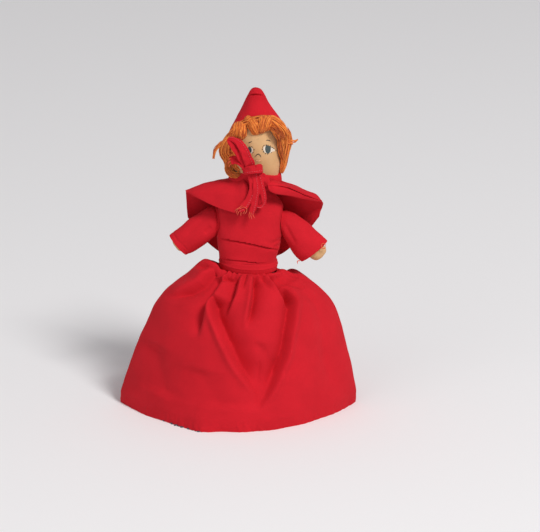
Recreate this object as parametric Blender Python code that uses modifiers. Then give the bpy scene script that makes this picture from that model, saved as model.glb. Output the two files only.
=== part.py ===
"""Topsy turvy rag doll: two half dolls joined at the waist under one reversible skirt.

Metres, +Z up, the doll faces -Y. The origin is the middle of the hem on the floor.
"""
import math

import bmesh
import bpy
from mathutils import Matrix, Vector

for old_object in list(bpy.data.objects):
    bpy.data.objects.remove(old_object, do_unlink=True)

# Driving dimensions of the whole doll
waist_height = 0.082
hem_width = 0.136
hem_depth = 0.104
doll_lean = math.radians(3.0)
doll_shift = 0.0015         # the two dolls stand a little to the right of the hem's middle
cloth = 0.0007              # dress cotton, both faces
gap = 0.0003                # left between neighbouring pieces
weld_distance = 0.00001
cut_overrun = 0.0095        # how far a cut goes past what it cuts
smooth_angle = math.radians(50.0)

# Skirt: shares of waist to hem, as height and reach, and its main folds
waist_half_width = 0.0167
waist_half_depth = 0.0127
hem_fold_height = 0.006
skirt_sides = 72
skirt_profile_shares = [(1.0, 0.0), (1.032, 0.10), (1.0, 0.215), (0.945, 0.335), (0.87, 0.49),
                        (0.76, 0.645), (0.62, 0.765), (0.42, 0.875), (0.22, 0.955)]
skirt_settle_height = 0.048  # from here down the skirt's middle comes back over the middle of the hem
skirt_slope_length = 0.118   # from the waist to the hem, along the cloth
skirt_swell_share = 0.05     # how much further the skirt stands out at its left
swell_end_share = 0.85       # of the way down, where it is back in place
waist_plan_power = 0.5       # the skirt is an ellipse in plan at the waist
hem_plan_power = 0.88        # and pointed at the sides at the hem
skirt_fold_depth = 0.0072
skirt_fold_width = 0.0100
fold_start_share = 0.3       # of the reach, before which the folds are still flat against the waist
fold_rise_share = 0.2        # of a fold's length, over which it deepens
fold_fade_share = 0.4        # and over which it dies out
# Each fold: side (-1 front, 1 back), its valley as shares down and across the skirt,
# its depth, and its width to the left and to the right
skirt_fold_shares = [
    (-1, [(0.34, -0.49), (0.49, -0.35), (0.59, -0.21), (0.66, -0.07), (0.74, 0.10)], 1.0, 0.42, 1.1),
    (-1, [(0.27, 0.69), (0.38, 0.66), (0.47, 0.55), (0.58, 0.46), (0.72, 0.32), (0.80, 0.21)], 1.0, 0.95, 0.42),
    (-1, [(0.08, 0.60), (0.29, 0.56), (0.44, 0.61)], 0.75, 0.36, 0.6),
    (-1, [(0.08, 0.19), (0.31, 0.12), (0.54, 0.02)], 0.5, 0.3, 0.5),
    (-1, [(0.08, -0.235), (0.36, -0.226), (0.48, -0.285)], 0.5, 0.5, 0.3),
    (-1, [(0.19, -0.575), (0.43, -0.55), (0.61, -0.505)], 0.7, 0.55, 0.34),
    (-1, [(0.06, -0.70), (0.30, -0.745), (0.48, -0.93)], 0.65, 0.34, 0.55),
    (-1, [(0.66, -0.86), (0.74, -0.74), (0.84, -0.60)], 0.26, 0.8, 0.8),
    (-1, [(0.70, -0.42), (0.78, -0.24), (0.84, -0.10)], 0.24, 0.9, 0.9),
    (1, [(0.08, -0.66), (0.30, -0.60), (0.55, -0.68), (0.80, -0.76)], 0.78, 0.4, 0.8),
    (1, [(0.08, -0.30), (0.30, -0.24), (0.50, -0.30), (0.74, -0.36)], 0.85, 0.85, 0.4),
    (1, [(0.08, 0.12), (0.34, 0.06), (0.60, 0.12), (0.84, 0.14)], 0.85, 0.4, 0.85),
    (1, [(0.08, 0.42), (0.26, 0.46), (0.44, 0.50)], 0.4, 0.32, 0.3),
    (1, [(0.08, 0.70), (0.34, 0.66), (0.56, 0.60), (0.78, 0.58)], 0.78, 0.8, 0.4)]

# Bodice, torso and waist band, heights above the waist
bodice_height = 0.048
bodice_half_width = 0.0186
bodice_half_depth = 0.0126
bodice_shares = [(0.012, 0.86, 0.94), (0.17, 0.885, 0.955), (0.35, 0.968, 1.0), (0.52, 1.0, 1.0),
                 (0.74, 1.0, 0.98), (0.84, 0.967, 0.92), (0.92, 0.83, 0.83), (1.0, 0.68, 0.73)]
torso_ease = 0.0005         # between the stuffed body and the dress over it
neck_rise = 0.0040          # of the stuffed neck above the dress
neck_height = bodice_height + neck_rise
neck_half_width = 0.0105
neck_half_depth = 0.0073
waist_band_height = 0.0052
waist_band_start = 0.0014
waist_band_bulge_share = 0.5
body_sides = 16

# Head, which nods about the base of the neck
neck_pivot_rise = 0.0065
neck_pivot_height = neck_height + neck_pivot_rise
head_height = 0.0414
head_half_width = 0.0143
head_half_depth = 0.0134
head_shares = [(0.0, 0.0, 0.0), (0.03, 0.45, 0.37), (0.075, 0.735, 0.56), (0.145, 0.855, 0.69),
               (0.28, 0.94, 0.87), (0.47, 0.995, 0.985), (0.62, 1.0, 1.0), (0.765, 0.925, 0.94),
               (0.885, 0.735, 0.775), (0.965, 0.42, 0.45), (1.0, 0.0, 0.0)]

# Arms and sleeves, which swing about the armholes
shoulder_height = 0.030
armhole_reach = 0.0190      # from the doll's middle to the sleeve's seam
armhole_half_height = 0.0098
armhole_half_depth = 0.0071
armhole_radius = 0.0056
arm_radius = 0.0046
sleeve_length = 0.0262
cuff_half_depth = 0.0056
cuff_turn = math.radians(5.0)
upper_left_droop = math.radians(33.0)
upper_left_cuff_half_width = 0.0076
upper_left_mitt_reach = 0.0010      # how far the mitt shows past the cuff
upper_right_droop = math.radians(45.0)
upper_right_cuff_half_width = 0.0097
upper_right_mitt_reach = 0.0085
second_droop = math.radians(-15.0)
second_cuff_half_width = 0.0085
second_mitt_reach = 0.0070
mitt_length = 0.0125
sleeve_shares = [0.0, 0.12, 0.35, 0.65, 1.0]
sleeve_swell_shares = [0.0, 0.04, 0.05, 0.02, 0.0]
arm_shares = [0.22, 0.45, 0.7, 0.92]
arm_swell_share = 0.08
arm_depth_share = 0.95
limb_sides = 12
# Past the cuff: along the mitt, half width and half depth against the arm's radius
mitt_shares = [(0.12, 0.95, 0.86), (0.36, 1.12, 0.86), (0.62, 1.2, 0.80), (0.84, 1.02, 0.66),
               (0.96, 0.6, 0.40), (1.0, 0.0, 0.0)]

# Collar band at each neck
collar_half_width = 0.0159
collar_half_depth = 0.0124
collar_height = 0.0062
collar_sink = 0.0008         # how far it starts below the top of the neck
collar_start = neck_height - collar_sink
collar_side_step = 0.0012
collar_sides = 20

# Cape on the upper doll: cloth folded over the shoulders
cape_radius = 0.0465
cape_middle_sink = 0.0005    # of the round back edge's middle, below the top of the neck
cape_middle_height = neck_height - cape_middle_sink
cape_half_width = 0.0395
cape_side_step = 0.0020
cape_ridge_rise = 0.0028
cape_ridge_height = neck_height + cape_ridge_rise
cape_ridge_drop = 0.0085
cape_front_reach = 0.0152
cape_back_reach = 0.0158
cape_tip_reach = 0.0078
cape_front_drop = 0.0175
cape_rolled_drop = 0.0056
cape_tip_drop = 0.0012
cape_wave = 0.0013
cape_waves = 5
cape_across = 22
cape_along = 12
cape_ridge_share = 0.36
cape_opening_left = 0.0045
cape_opening_right = 0.0078

# Hood: a pointed cap over the back of the head
hood_height = 0.0478
hood_half_width = 0.0192
hood_start_rise = 0.0097
hood_start = neck_height + hood_start_rise
hood_back_step = 0.0015
hood_sides = 20
hood_depth_share = 0.95
hood_edge_reach = 0.0085    # how far forward the hood's edge reaches over the forehead, at the height below
hood_edge_rise = 0.0446
hood_edge_height = neck_height + hood_edge_rise
hood_edge_slope = math.radians(15.0)
hood_shares = [(0.0, 0.78), (0.14, 0.86), (0.30, 0.925), (0.45, 0.84), (0.605, 0.645), (0.735, 0.43),
               (0.87, 0.21), (0.945, 0.125), (0.988, 0.068), (1.0, 0.0)]

# Hair, kept as plain lumps
hair_radius = 0.0054
hair_sides_radius = 0.0046
hair_resolution = 3
hair_cap_half_width = 0.0158
hair_cap_half_depth = 0.0152
hair_cap_half_height = 0.0176
hair_cap_rise = 0.0235
hair_cap_middle = neck_height + hair_cap_rise
hair_cap_back_step = 0.0012
hair_cap_sides = 16
hair_cap_rows = 8
# Places about the head, in shares of its half width, half depth and height
fringe_shares = [(-1.02, -0.42, 0.80), (-0.78, -0.72, 0.86), (-0.5, -0.88, 0.905), (-0.1, -0.93, 0.945),
                 (0.35, -0.93, 0.955), (0.75, -0.8, 0.93), (1.05, -0.5, 0.88), (1.2, -0.3, 0.82)]
fringe_size_shares = [0.72, 0.92, 1.08, 0.94, 1.08, 1.0, 0.95, 0.75]
hair_left_shares = [(-1.1, -0.34, 0.80), (-1.2, -0.36, 0.70), (-1.17, -0.36, 0.58), (-1.12, -0.36, 0.46),
                    (-1.05, -0.34, 0.34), (-0.98, -0.3, 0.24)]
hair_left_size_shares = [0.6, 0.95, 1.1, 1.05, 1.0, 0.6]
hair_right_shares = [(1.22, -0.32, 0.74), (1.22, -0.36, 0.66), (1.2, -0.36, 0.56), (1.14, -0.36, 0.46),
                     (1.1, -0.34, 0.36), (1.05, -0.3, 0.28)]
hair_right_size_shares = [0.6, 0.9, 0.95, 0.9, 0.85, 0.5]

# Tie: folded cotton strip, knotted under the chin
tie_half_width = 0.0020
tie_half_thickness = 0.0007
knot_half_width = 0.0056
knot_half_height = 0.0029
knot_half_depth = 0.0022
knot_rise = 0.0135
knot_height = neck_height + knot_rise
knot_reach = 0.0148         # forward of the doll's middle
knot_side_step = 0.0005
knot_turn = math.radians(8.0)
knot_sides = 12
knot_rows = 7
strap_steps = 3
# Corners of each strip from the knot's middle, in shares of the knot's half width, depth and height
long_loop_shares = [(-0.35, -0.1, 1.25), (-0.95, -0.15, 3.2), (-1.9, -0.9, 5.5), (-2.8, -1.95, 7.4)]
short_loop_shares = [(-1.02, 0.0, 0.6), (-1.75, -0.1, 1.5), (-2.3, -0.25, 2.9)]
left_tail_shares = [(-0.45, 0.0, -1.25), (-0.5, -0.3, -3.5), (-0.75, -0.5, -5.8), (-1.05, -0.6, -8.0)]
right_tail_shares = [(0.4, 0.0, -1.25), (0.55, -0.3, -3.3), (0.7, -0.5, -5.3), (0.85, -0.5, -7.2)]

# Second doll, hidden upside down under the skirt
second_girth_share = 0.90
second_rise_share = 0.80
second_collar_share = 0.90  # its collar is drawn in to the neck, with no cape under it


# Scene helpers
def new_collection(name):
    collection = bpy.data.collections.new(name)
    bpy.context.scene.collection.children.link(collection)
    return collection


doll_parts = new_collection("topsy_turvy_doll")
cutters = new_collection("cutters")


def finish(name, hex_color, roughness):
    material = bpy.data.materials.new(name)
    material.use_nodes = True
    shader = material.node_tree.nodes["Principled BSDF"]
    channels = [int(hex_color[place:place + 2], 16) / 255 for place in (0, 2, 4)]
    linear = [c / 12.92 if c <= 0.04045 else ((c + 0.055) / 1.055) ** 2.4 for c in channels]
    shader.inputs["Base Color"].default_value = (*linear, 1.0)
    shader.inputs["Roughness"].default_value = roughness
    shader.inputs["Metallic"].default_value = 0.0
    return material


def add_empty(name, parent, location, turn=(0.0, 0.0, 0.0)):
    empty = bpy.data.objects.new(name, None)
    doll_parts.objects.link(empty)
    empty.parent = parent
    empty.location = location
    empty.rotation_euler = turn
    return empty


def add_part(name, mesh, parent, material, place=(0.0, 0.0, 0.0)):
    part = bpy.data.objects.new(name, mesh)
    doll_parts.objects.link(part)
    mesh.name = name
    mesh.materials.clear()
    mesh.materials.append(material)
    mesh.shade_smooth()
    mesh.set_sharp_from_angle(angle=smooth_angle)
    part.parent = parent
    part.location = place
    return part


def add_cutter(name, mesh, parent, place=(0.0, 0.0, 0.0), turn=(0.0, 0.0, 0.0)):
    cutter = bpy.data.objects.new(name, mesh)
    cutters.objects.link(cutter)
    cutter.parent = parent
    cutter.location = place
    cutter.rotation_euler = turn
    cutter.hide_render = True
    cutter.display_type = "WIRE"
    return cutter


def solidify(part, thickness):
    wall = part.modifiers.new("wall", "SOLIDIFY")
    wall.thickness = thickness
    wall.offset = -1.0
    wall.use_even_offset = True


def cut(part, cutter, solver="EXACT"):
    if "flat faces" not in part.modifiers:
        part.modifiers.new("flat faces", "TRIANGULATE")
    boolean = part.modifiers.new("cut " + cutter.name, "BOOLEAN")
    boolean.operation = "DIFFERENCE"
    boolean.object = cutter
    boolean.solver = solver


# Mesh helpers
def ellipse(middle, half_width, half_depth, sides, turn=0.0):
    """A ring about the local Z axis, turned about Y by turn."""
    ring = []
    for step in range(sides):
        angle = 2.0 * math.pi * step / sides
        point = Vector((half_width * math.cos(angle), half_depth * math.sin(angle), 0.0))
        ring.append(Vector(middle) + Matrix.Rotation(turn, 3, "Y") @ point)
    return ring


def loft(rings, closed_ends):
    """Quads between rings of equal count; a closed end is a flat cap, or a pole where its ring is a point.
    """
    bm = bmesh.new()
    loops = []
    for ring in rings:
        spread = max((point - ring[0]).length for point in ring)
        loops.append([bm.verts.new(ring[0])] if spread == 0.0 else [bm.verts.new(point) for point in ring])
    count = len(rings[0])
    for lower, upper in zip(loops, loops[1:]):
        for step in range(count):
            after = (step + 1) % count
            corners = [lower[step % len(lower)], lower[after % len(lower)],
                       upper[after % len(upper)], upper[step % len(upper)]]
            bm.faces.new(list(dict.fromkeys(corners)))
    if closed_ends:
        for loop in (loops[0], loops[-1]):
            if len(loop) > 1:
                bm.faces.new(loop)
    bmesh.ops.recalc_face_normals(bm, faces=bm.faces)
    mesh = bpy.data.meshes.new("loft")
    bm.to_mesh(mesh)
    bm.free()
    return mesh


def outward_loft(rings):
    """An open tube whose rings run upwards, counted anticlockwise, with faces away from its middle."""
    bm = bmesh.new()
    loops = [[bm.verts.new(point) for point in ring] for ring in rings]
    count = len(rings[0])
    for lower, upper in zip(loops, loops[1:]):
        for step in range(count):
            after = (step + 1) % count
            bm.faces.new((lower[step], lower[after], upper[after], upper[step]))
    mesh = bpy.data.meshes.new("tube")
    bm.normal_update()
    bm.to_mesh(mesh)
    bm.free()
    return mesh


def inset_mesh(mesh, distance):
    """Moves every point inwards by distance, measured square to the faces."""
    bm = bmesh.new()
    bm.from_mesh(mesh)
    bm.normal_update()
    moves = [vert.normal * distance * vert.calc_shell_factor() for vert in bm.verts]
    for vert, move in zip(bm.verts, moves):
        vert.co -= move
    bm.to_mesh(mesh)
    bm.free()


def box_mesh(width, depth, height):
    bm = bmesh.new()
    bmesh.ops.create_cube(bm, size=1.0)
    bmesh.ops.scale(bm, vec=(width, depth, height), verts=bm.verts)
    mesh = bpy.data.meshes.new("box")
    bm.to_mesh(mesh)
    bm.free()
    return mesh


def ellipsoid_mesh(half_width, half_depth, half_height, across, along):
    bm = bmesh.new()
    bmesh.ops.create_uvsphere(bm, u_segments=across, v_segments=along, radius=1.0)
    bmesh.ops.scale(bm, vec=(half_width, half_depth, half_height), verts=bm.verts)
    mesh = bpy.data.meshes.new("ellipsoid")
    bm.to_mesh(mesh)
    bm.free()
    return mesh


def cylinder_mesh(radius, length, sides):
    """A cylinder along X."""
    bm = bmesh.new()
    bmesh.ops.create_cone(bm, cap_ends=True, segments=sides, radius1=radius, radius2=radius, depth=length,
                          matrix=Matrix.Rotation(math.pi / 2.0, 4, "Y"))
    mesh = bpy.data.meshes.new("cylinder")
    bm.to_mesh(mesh)
    bm.free()
    return mesh


def mesh_from(source, squash=(1.0, 1.0, 1.0)):
    """The evaluated mesh of a curve or of a turned profile, welded, with the source removed."""
    evaluated = source.evaluated_get(bpy.context.evaluated_depsgraph_get())
    mesh = bpy.data.meshes.new_from_object(evaluated)
    mesh.transform(Matrix.Diagonal((*squash, 1.0)))
    bm = bmesh.new()
    bm.from_mesh(mesh)
    bmesh.ops.remove_doubles(bm, verts=bm.verts, dist=weld_distance)
    bm.to_mesh(mesh)
    bm.free()
    bpy.data.objects.remove(source, do_unlink=True)
    return mesh


def turned_mesh(profile, sides, depth_share):
    """A profile turned about Z: it runs down its outer side."""
    mesh = bpy.data.meshes.new("profile")
    bm = bmesh.new()
    points = [bm.verts.new((radius, 0.0, height)) for radius, height in profile]
    for first, second in zip(points, points[1:]):
        bm.edges.new((first, second))
    bm.to_mesh(mesh)
    bm.free()
    source = bpy.data.objects.new("profile", mesh)
    doll_parts.objects.link(source)
    screw = source.modifiers.new("turn", "SCREW")
    screw.steps = sides
    screw.render_steps = sides
    screw.use_merge_vertices = True
    screw.merge_threshold = weld_distance
    bpy.context.view_layer.update()
    return mesh_from(source, (1.0, depth_share, 1.0))


def tube_mesh(points, radii):
    """A curve with a round section whose radius changes along it."""
    curve = bpy.data.curves.new("tube", "CURVE")
    curve.dimensions = "3D"
    curve.bevel_depth = max(radii)
    curve.bevel_resolution = hair_resolution
    curve.use_fill_caps = True
    spline = curve.splines.new("POLY")
    spline.points.add(len(points) - 1)
    for spot, point, radius in zip(spline.points, points, radii):
        spot.co = (*point, 1.0)
        spot.radius = radius / max(radii)
    source = bpy.data.objects.new("tube", curve)
    doll_parts.objects.link(source)
    bpy.context.view_layer.update()
    return mesh_from(source)


def smooth_route(corners, steps):
    """Points read from a smooth curve through the corners."""
    ends = [corners[0], *corners, corners[-1]]
    route = []
    for before, start, end, after in zip(ends, ends[1:], ends[2:], ends[3:]):
        for step in range(steps):
            t = step / steps
            route.append(0.5 * (2.0 * start + (end - before) * t
                                + (2.0 * before - 5.0 * start + 4.0 * end - after) * t ** 2
                                + (3.0 * start - before - 3.0 * end + after) * t ** 3))
    return route + [corners[-1]]


def strap_mesh(corners, across):
    """A flat strip along a smooth route, its width along the vector across."""
    route = smooth_route(corners, strap_steps)
    rings = []
    for index, point in enumerate(route):
        ahead = route[min(index + 1, len(route) - 1)] - route[max(index - 1, 0)]
        side = (Vector(across) - Vector(across).project(ahead)).normalized()
        face = ahead.cross(side).normalized()
        rings.append([point + side * tie_half_width * a + face * tie_half_thickness * b
                      for a, b in ((-1, -1), (1, -1), (1, 1), (-1, 1))])
    return loft(rings, True)


# Materials
red_cotton = finish("red_cotton", "CE2230", 0.85)
dark_cotton = finish("dark_cotton", "33293A", 0.85)
skin_cotton = finish("skin_cotton", "D6AA78", 0.8)
brown_cotton = finish("brown_cotton", "8A5A3C", 0.8)
orange_yarn = finish("orange_yarn", "CC6A2C", 0.9)
dark_yarn = finish("dark_yarn", "2A1C18", 0.9)


# Skirt
def skirt_step(step):
    """Side and place across of a point round the skirt."""
    turn = step / skirt_sides
    even = 1.0 - 4.0 * min(turn, 1.0 - turn)
    return (1 if turn < 0.5 else -1), (math.cos(2.0 * math.pi * turn) + even) / 2.0


def skirt_rows():
    """Height, reach and share of the way down of each ring, from the hem to the waist."""
    last = len(skirt_profile_shares) + 1
    rows = [(0.0, 1.0, 1.0), (hem_fold_height, 1.0, (last - 1) / last)]
    for index, (height_share, reach) in reversed(list(enumerate(skirt_profile_shares))):
        rows.append((height_share * waist_height, reach, index / last))
    return rows


def half_width_at(reach):
    return waist_half_width + reach * (hem_width / 2.0 - waist_half_width)


def fold_depth_at(step, reach, down):
    """How far the folds draw the skirt in, at a point round it and a share of the way down."""
    side, across = skirt_step(step)
    depth = 0.0
    for fold_side, route, strength, left, right in skirt_fold_shares:
        share = (down - route[0][0]) / (route[-1][0] - route[0][0])
        if fold_side != side or not 0.0 < share < 1.0:
            continue
        start, end = next(pair for pair in zip(route, route[1:]) if down <= pair[1][0])
        slant = (end[1] - start[1]) / (end[0] - start[0])
        place = start[1] + slant * (down - start[0])
        square = math.hypot(1.0, slant * half_width_at(reach) / skirt_slope_length)
        away = (across - place) * half_width_at(reach) / square
        width = skirt_fold_width * (left if away < 0.0 else right)
        fade = min(1.0, share / fold_rise_share) * min(1.0, (1.0 - share) / fold_fade_share)
        depth += strength * fade * math.exp(-(away / width) ** 2)
    return skirt_fold_depth * min(depth, 1.0) * min(1.0, reach / fold_start_share)


def skirt_ring(height, reach, down):
    half_width = half_width_at(reach)
    half_depth = waist_half_depth + reach * (hem_depth / 2.0 - waist_half_depth)
    middle = (doll_shift + height * math.sin(doll_lean)) * min(1.0, height / skirt_settle_height)
    power = waist_plan_power + (hem_plan_power - waist_plan_power) * reach
    swell = skirt_swell_share * math.sin(math.pi * min(1.0, down / swell_end_share))
    ring = []
    for step in range(skirt_sides):
        side, across = skirt_step(step)
        x = half_width * across * (1.0 + swell * max(0.0, -across))
        y = half_depth * side * max(0.0, 1.0 - across ** 2) ** power
        ring.append(Vector((middle + x, y, height - x * math.sin(doll_lean) * (1.0 - reach))))
    return ring


def skirt_mesh():
    rows = skirt_rows()
    rings = [skirt_ring(*row) for row in rows]
    for bottom_point, upper_point in zip(rings[0], rings[1]):
        upper_point.x = bottom_point.x
        upper_point.y = bottom_point.y
    mesh = outward_loft(rings)
    bm = bmesh.new()
    bm.from_mesh(mesh)
    bm.normal_update()
    moves = []
    for vert in bm.verts:
        row, step = divmod(vert.index, skirt_sides)
        moves.append(vert.normal * fold_depth_at(step, rows[row][1], rows[row][2]))
    for vert, move in zip(bm.verts, moves):
        vert.co -= move
    bm.to_mesh(mesh)
    bm.free()
    return mesh


def make_skirt():
    outer = add_part("skirt_outer", skirt_mesh(), None, red_cotton)
    solidify(outer, cloth)
    lining_mesh = skirt_mesh()
    inset_mesh(lining_mesh, cloth + gap)
    for vert in lining_mesh.vertices:
        vert.co.z += gap if vert.co.z < hem_fold_height / 2.0 else 0.0
    lining = add_part("skirt_lining", lining_mesh, None, dark_cotton)
    solidify(lining, cloth)
    hem_mesh = outward_loft([[Vector((p.x, p.y, gap)) for p in skirt_ring(0.0, 1.0, 1.0)],
                             [Vector((p.x, p.y, hem_fold_height)) for p in skirt_ring(0.0, 1.0, 1.0)]])
    inset_mesh(hem_mesh, 2.0 * (cloth + gap))
    hem = add_part("skirt_hem", hem_mesh, None, dark_cotton)
    solidify(hem, cloth)


# Half dolls
def body_rings(girth, rise, inset=0.0):
    half_width = bodice_half_width * girth
    half_depth = bodice_half_depth * girth
    return [ellipse((0.0, 0.0, high * bodice_height * rise), wide * half_width - inset,
                    deep * half_depth - inset, body_sides) for high, wide, deep in bodice_shares]


def head_mesh(girth, rise, grow=0.0):
    rings = []
    for high, wide, deep in head_shares:
        width = wide * head_half_width * girth + (grow if wide else 0.0)
        depth = deep * head_half_depth * girth + (grow if deep else 0.0)
        height = high * head_height * rise + grow * (2.0 * high - 1.0)
        rings.append(ellipse((0.0, 0.0, height), width, depth, body_sides))
    return loft(rings, True)


def make_arm(prefix, side_name, side, doll, girth, rise, droop, cuff_half_width, mitt_reach, cloth_material,
             skin_material):
    """The stuffed arm with its mitt, and the sleeve over it, on an empty at the armhole."""
    shoulder = add_empty(prefix + side_name + "_shoulder", doll,
                         (side * armhole_reach * girth, 0.0, shoulder_height * rise))
    line = Vector((side * math.cos(droop), 0.0, -math.sin(droop)))
    cuff_middle = line * sleeve_length * rise
    upright = side * math.pi / 2.0
    cuff_angle = upright + side * (droop + cuff_turn)
    armhole = ellipse((0.0, 0.0, 0.0), armhole_half_height * rise, armhole_half_depth * girth,
                      limb_sides, upright)
    cuff = ellipse(cuff_middle, cuff_half_width * rise, cuff_half_depth * girth, limb_sides, cuff_angle)
    sleeve_rings = []
    for share, swell in zip(sleeve_shares, sleeve_swell_shares):
        middle = cuff_middle * share
        ring = [start.lerp(end, share) for start, end in zip(armhole, cuff)]
        sleeve_rings.append([middle + (point - middle) * (1.0 + swell) for point in ring])
    sleeve = add_part(prefix + side_name + "_sleeve", outward_loft(sleeve_rings), shoulder, cloth_material)
    solidify(sleeve, cloth)

    root = (bodice_half_width * girth - cloth - torso_ease + gap) - armhole_reach * girth
    radius = arm_radius * girth
    arm_angle = upright + side * droop
    rings = [ellipse((side * root, 0.0, 0.0), radius, radius, limb_sides, upright),
             ellipse((side * cloth, 0.0, 0.0), radius, radius, limb_sides, upright)]
    for share in arm_shares:
        swelled = radius * (1.0 + arm_swell_share * math.sin(math.pi * share))
        rings.append(ellipse(cuff_middle * share, swelled, swelled * arm_depth_share, limb_sides, arm_angle))
    tip_start = cuff_middle + line * (mitt_reach - mitt_length) * rise
    for along, wide, deep in mitt_shares:
        rings.append(ellipse(tip_start + line * along * mitt_length * rise, radius * wide, radius * deep,
                             limb_sides, arm_angle))
    add_part(prefix + side_name + "_arm", loft(rings, True), shoulder, skin_material)


def make_half_doll(prefix, doll, girth, rise, collar_share, arms, cloth_material, skin_material):
    """Torso, dress bodice, waist band, collar, head and arms, built upwards from the waist."""
    torso_rings = body_rings(girth, rise, cloth + torso_ease)
    torso_rings[0] = [Vector((point.x, point.y, gap / 2.0)) for point in torso_rings[0]]
    torso_rings.append(ellipse((0.0, 0.0, neck_height * rise), neck_half_width * girth,
                               neck_half_depth * girth, body_sides))
    add_part(prefix + "torso", loft(torso_rings, True), doll, skin_material)

    bodice = add_part(prefix + "bodice", outward_loft(body_rings(girth, rise)), doll, cloth_material)
    solidify(bodice, cloth)
    armholes_mesh = cylinder_mesh(armhole_radius * girth, 2.0 * (armhole_reach + cut_overrun), limb_sides)
    armholes = add_cutter(prefix + "armholes", armholes_mesh, doll, (0.0, 0.0, shoulder_height * rise))
    cut(bodice, armholes)

    band_grow = gap + cloth
    low_share, high_share = bodice_shares[0], bodice_shares[1]
    band_rings = []
    for share in (0.0, 0.5, 1.0):
        height = (waist_band_start + share * waist_band_height) * rise
        wide = low_share[1] + (high_share[1] - low_share[1]) * share
        deep = low_share[2] + (high_share[2] - low_share[2]) * share
        bulge = band_grow * (1.0 + math.sin(math.pi * share) * waist_band_bulge_share)
        band_rings.append(ellipse((0.0, 0.0, height), wide * bodice_half_width * girth + bulge,
                                  deep * bodice_half_depth * girth + bulge, body_sides))
    band = add_part(prefix + "waist_band", outward_loft(band_rings), doll, cloth_material)
    solidify(band, cloth)

    collar_girth = girth * collar_share
    collar_rings = [ellipse((collar_side_step * girth, 0.0, (collar_start + share * collar_height) * rise),
                            collar_half_width * collar_girth, collar_half_depth * collar_girth, collar_sides)
                    for share in (0.0, 1.0)]
    collar = add_part(prefix + "collar", outward_loft(collar_rings), doll, cloth_material)
    solidify(collar, cloth)

    neck = add_empty(prefix + "neck", doll, (0.0, 0.0, neck_pivot_height * rise))
    head_place = (0.0, 0.0, (neck_height - neck_pivot_height) * rise + gap)
    add_part(prefix + "head", head_mesh(girth, rise), neck, skin_material, head_place)
    head_space = add_cutter(prefix + "head_space", head_mesh(girth, rise, gap), neck, head_place)

    for side_name, side, droop, cuff_half_width, mitt_reach in arms:
        make_arm(prefix, side_name, side, doll, girth, rise, droop, cuff_half_width, mitt_reach,
                 cloth_material, skin_material)
    return neck, head_space


# Upper doll's own pieces
def hood_edge_cutter(name, neck, girth, rise, forward):
    """A block in front of the hood's edge, or behind it, cut off by the sloping plane of that edge."""
    size = 4.0 * hood_half_width
    edge = Vector((0.0, -hood_edge_reach * girth, (hood_edge_height - neck_pivot_height) * rise))
    step = -size / 2.0 if forward else size / 2.0 - gap
    middle = edge + Matrix.Rotation(hood_edge_slope, 3, "X") @ Vector((0.0, step, 0.0))
    return add_cutter(name, box_mesh(size, size, size), neck, middle, (hood_edge_slope, 0.0, 0.0))


def make_hood(neck, front_cutter):
    profile = [(wide * hood_half_width, hood_start - neck_pivot_height + high * hood_height)
               for high, wide in reversed(hood_shares)]
    mesh = turned_mesh(profile, hood_sides, hood_depth_share)
    hood = add_part("hood", mesh, neck, red_cotton, (0.0, hood_back_step, 0.0))
    solidify(hood, cloth)
    cut(hood, front_cutter)


def make_hair(prefix, neck, head_space, girth, rise, material):
    """Fringe, two sides and the back, each cut by the head, and parted by the hood's edge."""
    front_cutter = hood_edge_cutter(prefix + "hair_front_space", neck, girth, rise, True)
    back_cutter = hood_edge_cutter(prefix + "hair_back_space", neck, girth, rise, False)

    def head_points(shares):
        base = neck_height - neck_pivot_height
        return [Vector((wide * head_half_width * girth, deep * head_half_depth * girth,
                        (base + high * head_height) * rise)) for wide, deep, high in shares]

    fringe_points = head_points(fringe_shares)
    fringe = tube_mesh(fringe_points, [hair_radius * girth * share for share in fringe_size_shares])
    fringe_points[0] += (fringe_points[0] - fringe_points[1]).normalized() * 2.0 * gap
    fringe_points[-1] += (fringe_points[-1] - fringe_points[-2]).normalized() * 2.0 * gap
    fringe_radii = [hair_radius * girth * share + gap for share in fringe_size_shares]
    fringe_space = add_cutter(prefix + "fringe_space", tube_mesh(fringe_points, fringe_radii), neck)

    left_radii = [hair_sides_radius * girth * share for share in hair_left_size_shares]
    left = tube_mesh(head_points(hair_left_shares), left_radii)
    right_radii = [hair_sides_radius * girth * share for share in hair_right_size_shares]
    right = tube_mesh(head_points(hair_right_shares), right_radii)
    for name, mesh in (("fringe", fringe), ("left", left), ("right", right)):
        lump = add_part(prefix + "hair_" + name, mesh, neck, material)
        cut(lump, head_space)
        cut(lump, back_cutter)
        if name != "fringe":
            cut(lump, fringe_space)

    cap_mesh = ellipsoid_mesh(hair_cap_half_width * girth, hair_cap_half_depth * girth,
                              hair_cap_half_height * rise, hair_cap_sides, hair_cap_rows)
    place = (0.0, hair_cap_back_step * girth, (hair_cap_middle - neck_pivot_height) * rise)
    cap = add_part(prefix + "hair_back", cap_mesh, neck, material, place)
    cut(cap, head_space)
    cut(cap, front_cutter, "MANIFOLD")


def cape_edges(x):
    """Ridge, front edge and back edge heights, and front and back reach, at a place across the cape."""
    share = min(1.0, abs(x) / cape_half_width)
    ridge = cape_ridge_height - cape_ridge_drop * share ** 1.4
    back = cape_middle_height - math.sqrt(max(0.0, cape_radius ** 2 - x ** 2))
    back = min(back, ridge - cape_rolled_drop)
    left_drop = cape_tip_drop + (cape_front_drop - cape_tip_drop) * (1.0 - share) ** 0.85
    drop = left_drop if x < 0.0 else cape_rolled_drop
    front_reach = cape_tip_reach + (cape_front_reach - cape_tip_reach) * (1.0 - share ** 2.0)
    back_reach = cape_tip_reach + (cape_back_reach - cape_tip_reach) * (1.0 - share ** 2.0)
    return ridge, ridge - drop, back, front_reach, back_reach


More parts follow.
